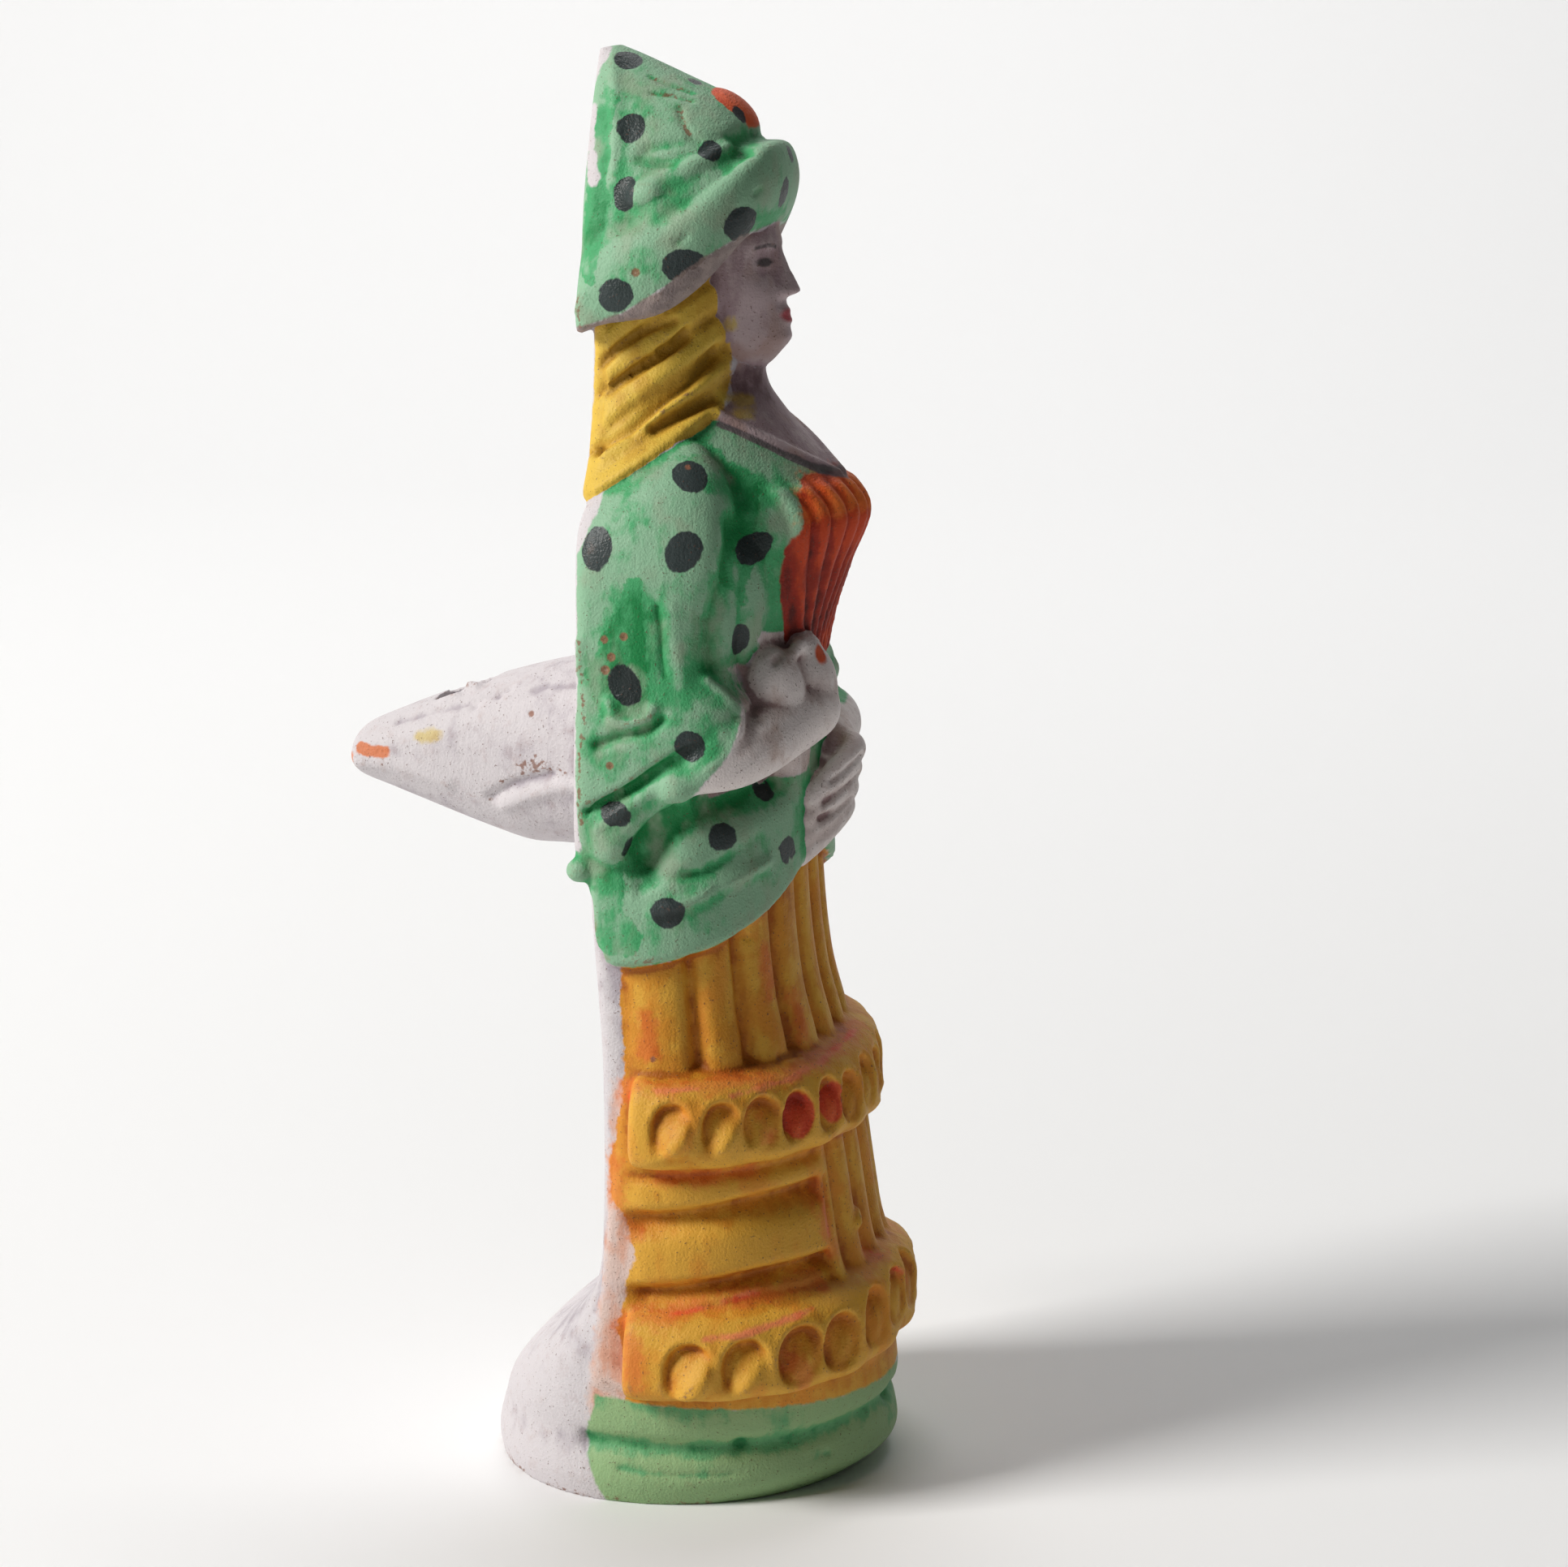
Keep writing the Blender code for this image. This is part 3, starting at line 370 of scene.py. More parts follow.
@dataclass(frozen=True)
class Gown:
    """Body, coat and skirt: one tall lump with flutes, folds and pleats worked into its front.

    Attributes:
        hoops: Sections from the base to the neck.
        hem_back_z, hem_front_z: Height of the coat's hem at the sides and at the middle of the front.
        coat_thickness: How far the coat stands off the skirt.
        coat_top_z: Height where that thickness fades out.
        flute_grooves: Where the grooves between the flutes lie, from 0 at one side to 1 at the other.
        flute_depth: Depth of the flutes.
        folds: Side folds between the frills: height at the back edge, rise to the front, depth, and half
            widths above and below.
        seam: The mould's seam, behind which the clay is plain: height and y.
        panel_half_width: Half width of the fluted panel between the frills.
        bodice_top_z, bodice_tip_z, bodice_half_width: The pleated bodice.
        pleats: Number of its pleats.
        pleat_depth: Their depth.
    """

    hoops: tuple[Hoop, ...] = (
        level(0.0, 27.2, 4.5, -23.8, 29.0, 2.0, 2.0),
        level(3.5, 28.0, 4.0, -28.0, 29.4, 2.0, 2.0),
        level(8.0, 27.2, 3.0, -27.8, 28.2, 2.0, 2.1),
        level(12.5, 27.8, 2.0, -28.2, 26.2, 2.0, 2.4),
        level(18.0, 27.8, 2.0, -27.4, 21.4, 2.1, 2.8),
        level(23.0, 27.8, 2.0, -26.8, 15.4, 2.2, 3.6),
        level(28.0, 27.8, 2.0, -26.0, 10.8, 2.3, 4.6),
        level(34.0, 27.6, 2.0, -23.8, 8.2, 2.3, 5.0),
        level(47.0, 27.8, 2.0, -21.6, 7.4, 2.3, 5.0),
        level(62.0, 27.4, 2.0, -19.0, 7.6, 2.3, 5.0),
        level(72.0, 26.8, 2.5, -16.4, 8.4, 2.3, 5.0),
        level(84.0, 26.2, 3.5, -15.0, 9.4, 2.4, 5.0),
        level(97.0, 25.0, 4.0, -14.8, 9.8, 2.4, 5.0),
        level(110.0, 24.0, 4.0, -15.4, 10.0, 2.3, 5.0),
        level(120.0, 23.0, 4.0, -16.4, 10.2, 2.2, 5.0),
        level(129.0, 22.6, 4.0, -19.4, 10.4, 2.0, 5.0),
        level(136.8, 21.6, 4.0, -22.4, 10.8, 1.9, 5.0),
        level(141.6, 19.6, 3.0, -19.8, 11.0, 1.8, 5.0),
        level(147.0, 16.4, 2.0, -14.2, 11.2, 1.9, 4.0),
        level(151.0, 12.0, 1.5, -10.8, 11.4, 2.0, 3.0),
        level(155.0, 8.0, 2.0, -8.8, 11.6, 2.0, 2.6),
        level(162.0, 7.0, 2.5, -8.4, 11.6, 2.0, 2.4),
    )
    hem_back_z: float = 77.5
    hem_front_z: float = 92.0
    coat_thickness: float = 2.0
    coat_top_z: float = 112.0
    flute_grooves: tuple[float, ...] = (0.123, 0.22, 0.33, 0.44, 0.53, 0.61, 0.70, 0.79, 0.877)
    flute_depth: float = 1.7
    folds: tuple[tuple[float, float, float, float, float], ...] = (
        (48.4, 0.6, 1.0, 0.5, 0.9),
        (42.4, 2.2, 2.7, 0.8, 2.6),
        (31.6, 2.4, 2.8, 0.9, 2.2),
        (28.2, 2.8, 0.8, 0.4, 0.8),
    )
    seam: tuple[tuple[float, float], ...] = (
        (14.0, 8.4), (23.7, 7.7), (36.5, 6.2), (47.6, 4.4), (60.7, 3.4), (67.0, 3.2), (76.0, 4.0),
        (80.0, 6.4), (88.0, 7.6), (99.0, 8.0), (141.0, 9.0),
    )
    panel_half_width: float = 12.4
    bodice_top_z: float = 141.5
    bodice_tip_z: float = 112.0
    bodice_half_width: float = 13.5
    pleats: int = 9
    pleat_depth: float = 1.6

    def hem(self, to_front: Array) -> Array:
        """Height of the hem: low at the sides, rising with the power 1.5 of the way to the front."""
        return self.hem_back_z + (self.hem_front_z - self.hem_back_z) * to_front**1.5

    def bodice_edge(self, z: Array) -> Array:
        """Half width of the bodice at a height: the power 0.45 of the share of its height."""
        share = np.clip((z - self.bodice_tip_z) / (self.bodice_top_z - self.bodice_tip_z), 0.0, 1.0)
        return 0.4 + (self.bodice_half_width - 0.4) * np.minimum(1.0, 1.12 * share**0.45)

    def lumps(self) -> list[Lump]:
        """The gown's one lump: the loft with flutes, side folds, coat and pleats pushed out of it."""
        loft = Loft(self.hoops, front_columns=300)
        x, y, z = np.moveaxis(loft.points, -1, 0)
        place, to_front = loft.place, loft.to_front
        seam_z, seam_y = np.array(self.seam).T
        seam = np.interp(z, seam_z, seam_y)
        front = smooth_step(seam - y, 0.0, 0.9)
        hem = self.hem(to_front)
        grooves = sum(hump(place, groove, 0.014) for groove in self.flute_grooves)
        phase = np.interp(place, (0.0, *self.flute_grooves, 1.0), range(len(self.flute_grooves) + 2))
        fluted = smooth_step(-z, -hem - 0.4, -hem + 0.8) * smooth_step(z, 59.0, 63.0)
        flutes = self.flute_depth * (0.45 * (round_ridges(phase) - 0.7) - 0.75 * grooves) * fluted
        aside = smooth_step(np.abs(x), self.panel_half_width, self.panel_half_width + 0.8)
        between = smooth_step(z, 26.5, 28.5) * smooth_step(-z, -54.0, -51.0)
        panel = self.flute_depth * (round_ridges(x / 6.2 + 0.5) - 0.6) * (1.0 - aside)
        forward = smooth_step(-y, -1.0, 18.0)
        folds = np.zeros_like(z)
        for at, lift, depth, above, below in self.folds:
            rise = z - at - lift * forward
            folds -= depth * hump(rise, 0.0, np.where(rise > 0.0, above, below))
        folds = (folds + 0.7) * aside * smooth_step(-y, -3.4, 0.4)
        coat = self.coat_thickness * smooth_step(z, hem - 0.6, hem + 0.6)
        coat = coat * smooth_step(-z, -self.coat_top_z, -self.coat_top_z + 8.0)
        edge = self.bodice_edge(z)
        in_bodice = smooth_step(-np.abs(x), -edge - 0.3, -edge + 0.3)
        in_bodice = in_bodice * smooth_step(z, self.bodice_tip_z, self.bodice_tip_z + 6.0)
        in_bodice = in_bodice * smooth_step(-z, -self.bodice_top_z - 0.5, -self.bodice_top_z + 0.5)
        slide = x / (2 * np.maximum(edge, 3.0)) * self.pleats + 0.5
        pleats = self.pleat_depth * (round_ridges(slide) - 0.3) * in_bodice
        step = 0.6 * smooth_step(z, 16.0, 18.0)
        relief = front * (flutes + between * (panel + folds) + coat + pleats + step)
        return [loft.lump(Clay.BODY, relief)]


@dataclass(frozen=True)
class Frill:
    """A frill round the skirt: a sloping ledge over a row of arched dents, each with a round petal in it.

    Attributes:
        hoops: Sections from the top to the underside.
        scallops: Number of arches round the front.
        shift: How far the first arch is from the side, in arches.
        top_z, bottom_z: Heights of the arches' tops and of the lower edge.
        depth: Depth of the dents.
        petal: How far each petal rises out of its dent.
        front_lift: How much higher the frill lies at the front than at the sides.
    """

    hoops: tuple[Hoop, ...]
    scallops: int
    shift: float
    top_z: float
    bottom_z: float
    depth: float = 2.0
    petal: float = 2.1
    front_lift: float = 0.0

    def lumps(self) -> list[Lump]:
        """The frill's lump. A dent is |across|^2.3 + |rise|^2.3 = 1, its petal a dome set a little lower."""
        loft = Loft(self.hoops, row_step=0.4, front_columns=480)
        lift = self.front_lift * loft.to_front**1.4
        z = loft.points[..., 2] - lift
        turn = loft.place * self.scallops - self.shift
        number = np.floor(turn)
        uneven = np.sin(number * 2.4 + self.scallops) * 0.05
        across = (turn % 1.0 - 0.5 + uneven) / (0.475 + 0.02 * np.sin(number * 4.1))
        top = self.top_z + 0.4 * np.sin(number * 3.3)
        rise = (2.0 * z - top - self.bottom_z) / (top - self.bottom_z)
        dent = smooth_step(-((np.abs(across) ** 2.3 + np.abs(rise) ** 2.3) ** (1 / 2.3)), -1.0, -0.72)
        low = np.hypot(across * 0.94 - 0.08, (rise + 0.26) / 1.1)
        dome = np.sqrt(np.clip(1.0 - low**2, 0.0, 1.0))
        to_front = smooth_step(loft.to_front, 0.2, 0.5)
        shown = self.petal * (1.0 - 0.6 * to_front)
        crescent = smooth_step(0.7 * rise - 0.7 * across, -0.5, 0.3)
        sunk = self.depth * (0.2 + 0.4 * to_front + (0.8 - 0.4 * to_front) * crescent)
        rim = 0.3 * hump(np.hypot(across, rise), 1.12, 0.14) * smooth_step(rise, -0.4, 0.2)
        relief = (shown * dome - sunk) * dent + rim
        ragged = 0.3 * np.sin(loft.place * 61.0) * smooth_step(-z, -self.bottom_z - 1.0, -self.bottom_z)
        in_front = (loft.place < 1.0) * (turn > 0.0) * (turn < self.scallops - 2 * self.shift)
        loft.points[..., 2] += lift * 0.6
        return [loft.lump(Clay.FRILL, np.where(in_front, relief, 0.0) + ragged * (loft.place < 1.0))]


LOWER_FRILL = Frill(
    hoops=(
        level(30.0, 26.0, 1.0, -25.0, 2.6, 2.2, 3.0),
        level(28.0, 30.2, 1.0, -28.6, 3.2, 2.3, 3.0),
        level(25.4, 31.8, 1.0, -29.8, 3.4, 2.3, 3.0),
        level(21.4, 32.6, 1.0, -30.2, 3.4, 2.3, 3.0),
        level(18.4, 32.6, 1.0, -30.0, 3.4, 2.3, 3.0),
        level(16.8, 30.6, 1.0, -28.4, 3.0, 2.3, 3.0),
        level(16.2, 26.0, 0.0, -24.0, 2.4, 2.2, 3.0),
    ),
    scallops=13,
    shift=0.6,
    top_z=25.4,
    bottom_z=16.6,
    depth=2.3,
    petal=2.0,
    front_lift=3.0,
)
UPPER_FRILL = Frill(
    hoops=(
        level(63.4, 26.0, -0.5, -18.0, 2.2, 2.2, 3.0),
        level(61.4, 30.2, -0.5, -22.4, 2.6, 2.2, 3.0),
        level(58.6, 31.8, -0.5, -24.4, 2.8, 2.1, 3.0),
        level(54.0, 32.6, -0.5, -25.4, 2.8, 2.0, 3.0),
        level(51.4, 32.2, -0.5, -25.0, 2.8, 2.0, 3.0),
        level(50.0, 30.4, -0.5, -23.0, 2.4, 2.0, 3.0),
        level(49.4, 26.0, -1.0, -18.0, 2.2, 2.0, 3.0),
    ),
    scallops=14,
    shift=0.29,
    top_z=59.8,
    bottom_z=51.8,
    depth=2.1,
    petal=1.7,
)


@dataclass(frozen=True)
class Jacket:
    """Wide sleeves that hang from the shoulders, and the flat collar that meets over the bodice.

    Attributes:
        sleeve: Sections of her right sleeve, from its lowest lobe to the shoulder.
        fold_pitch, fold_slope, first_fold_z, fold_depth: Its folds, which climb from back edge to cuff.
        collar: Her right half of the collar: points with the radius there.
        flank: The side of her chest, which the sleeve lies against: centre and radii.
        lobe: The lowest loop of the sleeve, at its back corner: centre and radii.
        cuff_roll: The fold from the cuff back to the lobe.
        knob: The round knob of clay at that corner.
    """

    sleeve: tuple[Hoop, ...] = (
        level(90.0, 3.0, 7.0, 5.0, 9.8, 2.0, 4.0, -23.5),
        level(93.0, 6.0, 6.0, 1.6, 10.0, 2.2, 4.0, -22.4),
        level(96.5, 8.0, 6.0, -1.6, 10.0, 2.4, 4.0, -21.4),
        level(101.0, 9.4, 6.0, -6.0, 9.8, 2.6, 4.0, -20.6),
        level(105.0, 9.8, 6.0, -10.0, 9.8, 2.6, 4.0, -20.2),
        level(108.5, 9.8, 6.0, -13.0, 9.8, 2.6, 4.0, -20.0),
        level(112.5, 9.4, 6.0, -13.2, 9.8, 2.6, 4.0, -19.8),
        level(117.0, 8.9, 6.0, -10.8, 9.8, 2.6, 4.0, -19.4),
        level(124.0, 8.8, 6.0, -11.2, 10.0, 2.6, 4.0, -19.0),
        Hoop((-11.8, 133.0), (10.2, 130.0), 8.8, 0.75, 2.6, 4.0, -18.8),
        Hoop((-10.4, 139.6), (10.4, 134.0), 8.4, 0.7, 2.3, 4.0, -18.2),
        Hoop((-8.0, 144.4), (10.4, 137.4), 7.2, 0.6, 2.1, 4.0, -17.2),
        Hoop((-4.8, 147.4), (9.6, 140.4), 5.0, 0.6, 2.0, 3.0, -16.0),
        Hoop((-1.0, 148.2), (7.0, 142.6), 2.4, 0.6, 2.0, 2.4, -15.0),
    )
    fold_pitch: float = 5.1
    fold_slope: float = 0.68
    first_fold_z: float = 102.9
    fold_depth: float = 0.5
    collar: Roll = (
        ((-11.0, -5.4, 151.0), 0.9),
        ((-7.2, -12.8, 146.4), 1.1),
        ((-1.0, -19.6, 141.8), 1.2),
    )
    flank: Ball = ((-14.6, -6.6, 128.0), (7.0, 7.6, 14.0))
    lobe: Ball = ((-24.6, 4.0, 94.4), (5.2, 5.2, 4.6))
    cuff_roll: Roll = (
        ((-25.6, 4.6, 95.4), 4.2),
        ((-25.4, -1.6, 99.4), 3.8),
        ((-24.6, -7.0, 103.6), 4.2),
        ((-22.4, -9.0, 109.0), 4.6),
    )
    knob: Ball = ((-27.2, 8.9, 90.4), (1.9, 1.9, 1.7))

    def lumps(self) -> list[Lump]:
        """Both sleeves, with folds that are cosines of z + slope y, and both halves of the collar."""
        made = []
        for side in (1.0, -1.0):
            loft = Loft([replace(hoop, centre_x=side * hoop.centre_x) for hoop in self.sleeve])
            slant = loft.points[..., 2] + self.fold_slope * loft.points[..., 1]
            phase = (slant - self.first_fold_z) / self.fold_pitch
            fade = smooth_step(-slant, -self.first_fold_z - 2.5, -self.first_fold_z)
            folds = -self.fold_depth * np.cos(2 * math.pi * phase) * fade * (loft.place < 1.0)
            made.append(loft.lump(Clay.SLEEVE, folds))
            made.append(roll(Clay.COLLAR, self.collar, side))
            made.append(roll(Clay.SLEEVE, self.cuff_roll, side))
            balls = ((Clay.BODY, self.flank), (Clay.SLEEVE, self.lobe), (Clay.SLEEVE, self.knob))
            made += [ball(clay, (side * x, y, z), radii) for clay, ((x, y, z), radii) in balls]
        return made


@dataclass(frozen=True)
class Arms:
    """Forearms that come out of the sleeves, and the hands that meet at her waist.

    Attributes:
        right_forearm, right_hand, left_forearm, left_palm: Rolls: points with the radius there.
        right_fingers: The folded fingers of her right hand, one flat lump: centre and radii.
        right_thumb: Its thumb, a low roll on that lump.
        finger: The top finger of her left hand.
        fingers: Number of fingers that show.
        finger_radius: Their radius.
        finger_drop: How much lower each finger lies than the one before.
    """

    right_forearm: Roll = (
        ((-26.0, -5.0, 102.2), 3.9),
        ((-20.4, -11.8, 106.4), 5.0),
        ((-8.0, -17.6, 110.6), 4.7),
    )
    right_hand: Roll = (
        ((-7.2, -17.4, 112.0), 4.4),
        ((-7.6, -17.2, 115.4), 4.2),
        ((-8.0, -16.6, 118.2), 3.2),
    )
    right_fingers: Ball = ((-13.4, -13.2, 113.4), (4.8, 5.6, 6.8))
    right_thumb: Roll = (
        ((-14.6, -15.8, 114.2), 0.8),
        ((-13.8, -16.2, 117.6), 0.8),
        ((-10.6, -17.4, 119.8), 1.0),
    )
    left_forearm: Roll = (
        ((25.0, -6.0, 104.0), 5.0),
        ((21.0, -12.6, 103.2), 4.8),
        ((6.0, -16.4, 103.0), 4.0),
    )
    left_palm: Roll = (
        ((6.0, -16.4, 102.4), 4.0),
        ((2.4, -16.8, 100.0), 4.4),
        ((0.0, -15.6, 97.4), 3.8),
    )
    finger: Line = ((5.4, -19.4, 103.8), (1.8, -21.6, 103.0), (-3.0, -19.8, 100.0), (-5.6, -17.2, 97.4))
    fingers: int = 4
    finger_radius: float = 1.8
    finger_drop: float = 2.7

    def lumps(self) -> list[Lump]:
        """The rolls of both arms and the fingers."""
        made = [
            roll(Clay.FOREARM, self.right_forearm),
            roll(Clay.FOREARM, self.left_forearm),
            roll(Clay.HAND, self.right_hand),
            roll(Clay.HAND, self.right_thumb),
            ball(Clay.HAND, *self.right_fingers),
            roll(Clay.HAND, self.left_palm),
        ]
        for number in range(self.fingers):
            shift = np.array([0.0, 0.5 * number, -number * self.finger_drop])
            made.append(roll(Clay.HAND, [(np.array(at) + shift, self.finger_radius) for at in self.finger]))
        return made


@dataclass(frozen=True)
class Head:
    """A head with a calm, plain face, set out by the usual proportions of a drawn head.

    Attributes:
        hoops: Sections from the neck to the crown.
        chin_z, crown_z: Lowest and highest points of the head.
        eye_x: Distance of each eye from the middle.
    """

    hoops: tuple[Hoop, ...] = (
        level(155.4, 2.6, -4.0, -8.0, 0.0),
        level(157.6, 5.4, -3.0, -10.8, 4.0, 2.2),
        level(160.6, 7.0, -1.5, -12.2, 6.0, 2.3),
        level(165.0, 8.0, 0.0, -12.0, 8.0, 2.2),
        level(170.0, 8.6, 0.5, -11.4, 9.0, 2.2),
        level(175.0, 8.6, 1.0, -11.2, 9.0, 2.1),
        level(180.0, 7.6, 1.0, -9.0, 8.0, 2.0),
        level(184.0, 4.6, 1.0, -5.0, 5.0, 2.0),
    )
    chin_z: float = 158.6
    crown_z: float = 183.0
    eye_x: float = 3.3

    @property
    def eye_z(self) -> float:
        """The eyes lie halfway down the head."""
        return (self.chin_z + self.crown_z) / 2

    @property
    def nose_z(self) -> float:
        """The nose ends a little over halfway from the chin to the eyes."""
        return self.chin_z + 0.62 * (self.eye_z - self.chin_z)

    @property
    def mouth_z(self) -> float:
        """The mouth lies a third of the way from the nose to the chin."""
        return self.chin_z + 0.40 * (self.eye_z - self.chin_z)

    def lumps(self) -> list[Lump]:
        """The head, its features pushed out as bells of x and z."""
        loft = Loft(self.hoops, row_step=0.35, front_columns=260)
        x, y, z = np.moveaxis(loft.points, -1, 0)
        side = np.abs(x)
        eye, nose, mouth = self.eye_z, self.nose_z, self.mouth_z
        bridge = smooth_step(-z, -eye - 1.6, -nose) * smooth_step(z, nose - 0.7, nose + 0.4)
        ridge = smooth_step(-z, -eye - 3.0, -eye) * smooth_step(z, nose - 0.9, nose + 0.7)
        relief = (
            -1.0 * hump(side, self.eye_x, 2.0) * hump(z, eye, 1.7)
            + 0.9 * hump(side, self.eye_x, 1.5) * hump(z, eye - 0.1, 0.9)
            + 0.4 * hump(side, self.eye_x, 2.4) * hump(z, eye + 2.2, 0.9)
            + (0.9 + 1.8 * bridge) * hump(x, 0.0, 1.25) * ridge
            + 0.8 * hump(side, 1.3, 0.8) * hump(z, nose + 0.5, 0.8)
            + 1.0 * hump(x, 0.0, 2.1) * (hump(z, mouth + 0.6, 0.55) + hump(z, mouth - 0.7, 0.6))
            + 1.0 * hump(x, 0.0, 2.4) * hump(z, self.chin_z + 1.9, 1.5)
            + 0.5 * hump(side, 4.6, 2.2) * hump(z, nose + 0.4, 2.4)
        )
        return [loft.lump(Clay.HEAD, relief * (y < 0.0))]


@dataclass(frozen=True)
class Hair:
    """Long hair that sweeps down from the face, under the hat, to the shoulders and the back.

    Attributes:
        hoops: Sections, sloping down to the back.
        lock_pitch, lock_slope, lock_depth: The locks.
        strand_pitch, strand_depth: The finer strands on them.
    """

    hoops: tuple[Hoop, ...] = (
        Hoop((-5.4, 176.0), (12.0, 166.0), 14.0, 0.8, 2.3, 3.4),
        Hoop((-6.0, 166.0), (12.0, 158.0), 14.4, 0.8, 2.3, 3.4),
        Hoop((-6.4, 159.0), (12.0, 151.0), 15.6, 0.8, 2.3, 3.4),
        Hoop((-7.0, 153.0), (11.8, 144.6), 18.4, 0.8, 2.3, 3.4),
        Hoop((-6.2, 149.6), (11.6, 139.8), 21.6, 0.8, 2.3, 3.4),
        Hoop((-2.0, 146.6), (10.6, 138.6), 19.0, 0.8, 2.3, 3.0),
    )
    lock_pitch: float = 5.0
    lock_slope: float = 0.85
    lock_depth: float = 1.1
    strand_pitch: float = 2.3
    strand_depth: float = 0.3

    def lumps(self) -> list[Lump]:
        """The hair, its locks round ridges of z + slope y, wandering a little."""
        loft = Loft(self.hoops, row_step=0.5)
        _, y, z = np.moveaxis(loft.points, -1, 0)
        slant = z + self.lock_slope * y + 0.5 * np.sin(y * 0.22 + z * 0.1)
        locks = self.lock_depth * (round_ridges(slant / self.lock_pitch) - 0.5)
        strands = self.strand_depth * (round_ridges(slant / self.strand_pitch + 0.3) - 0.5)
        return [loft.lump(Clay.HAIR, (locks + strands) * (loft.place < 1.0))]


@dataclass(frozen=True)
class Hat:
    """A pointed hat: a wide brim that slopes down to the back, a crown that sinks into it, and a cockade.

    Attributes:
        hoops: Sections from the underside of the brim to the tip.
        laps: Folds of the crown that lap over the brim, on both sides.
        droop: How far the brim hangs down at each side.
        cockade: Centre and radii of the cockade.
        cockade_lean: Its lean, in degrees.
    """

    hoops: tuple[Hoop, ...] = (
        Hoop((-8.4, 177.2), (10.4, 164.8), 13.0, 0.8, 2.2, 3.0),
        Hoop((-10.2, 175.4), (12.8, 161.6), 18.2, 0.8, 2.3, 3.6),
        Hoop((-12.4, 178.4), (13.4, 163.0), 19.3, 0.8, 2.3, 3.6),
        Hoop((-13.3, 182.8), (13.4, 166.2), 18.8, 0.8, 2.3, 3.6),
        Hoop((-12.0, 186.7), (13.3, 169.2), 17.6, 0.8, 2.3, 3.6),
        Hoop((-8.6, 187.1), (13.3, 172.0), 15.8, 0.8, 2.3, 3.6),
        Hoop((-8.0, 188.2), (13.4, 175.4), 14.8, 0.8, 2.3, 3.6),
        Hoop((-7.6, 190.0), (13.4, 180.6), 13.5, 0.8, 2.3, 3.6),
        Hoop((-4.0, 193.0), (13.4, 187.0), 10.8, 0.8, 2.2, 3.4),
        Hoop((2.0, 195.8), (13.5, 192.6), 7.4, 0.8, 2.1, 3.0),
        Hoop((7.4, 198.2), (13.8, 197.0), 4.0, 0.7, 2.0, 2.4),
        Hoop((11.0, 199.6), (13.9, 199.1), 1.8, 0.5, 2.0, 2.0),
    )
    laps: Roll = (
        ((-8.0, -6.0, 185.6), 1.8),
        ((-11.0, -2.4, 183.2), 2.7),
        ((-12.2, 1.4, 180.8), 3.0),
        ((-12.9, 3.2, 179.2), 2.6),
    )
    droop: float = 4.8
    cockade: Ball = ((0.0, -4.6, 190.6), (4.4, 4.6, 2.4))
    cockade_lean: float = 38.0

    def lumps(self) -> list[Lump]:
        """Crown and brim, both laps, and the cockade. The brim's droop is a bell of y."""
        loft = Loft(self.hoops)
        x, y, z = np.moveaxis(loft.points, -1, 0)
        brim = smooth_step(-(z + 0.62 * y), -176.0, -168.0) * smooth_step(np.abs(x), 6.0, 14.0)
        loft.points[..., 2] -= self.droop * hump(y, -1.0, 8.0) * brim
        return [
            loft.lump(Clay.HAT),
            roll(Clay.HAT, self.laps),
            roll(Clay.HAT, self.laps, -1.0),
            ball(Clay.COCKADE, *self.cockade, self.cockade_lean),
        ]


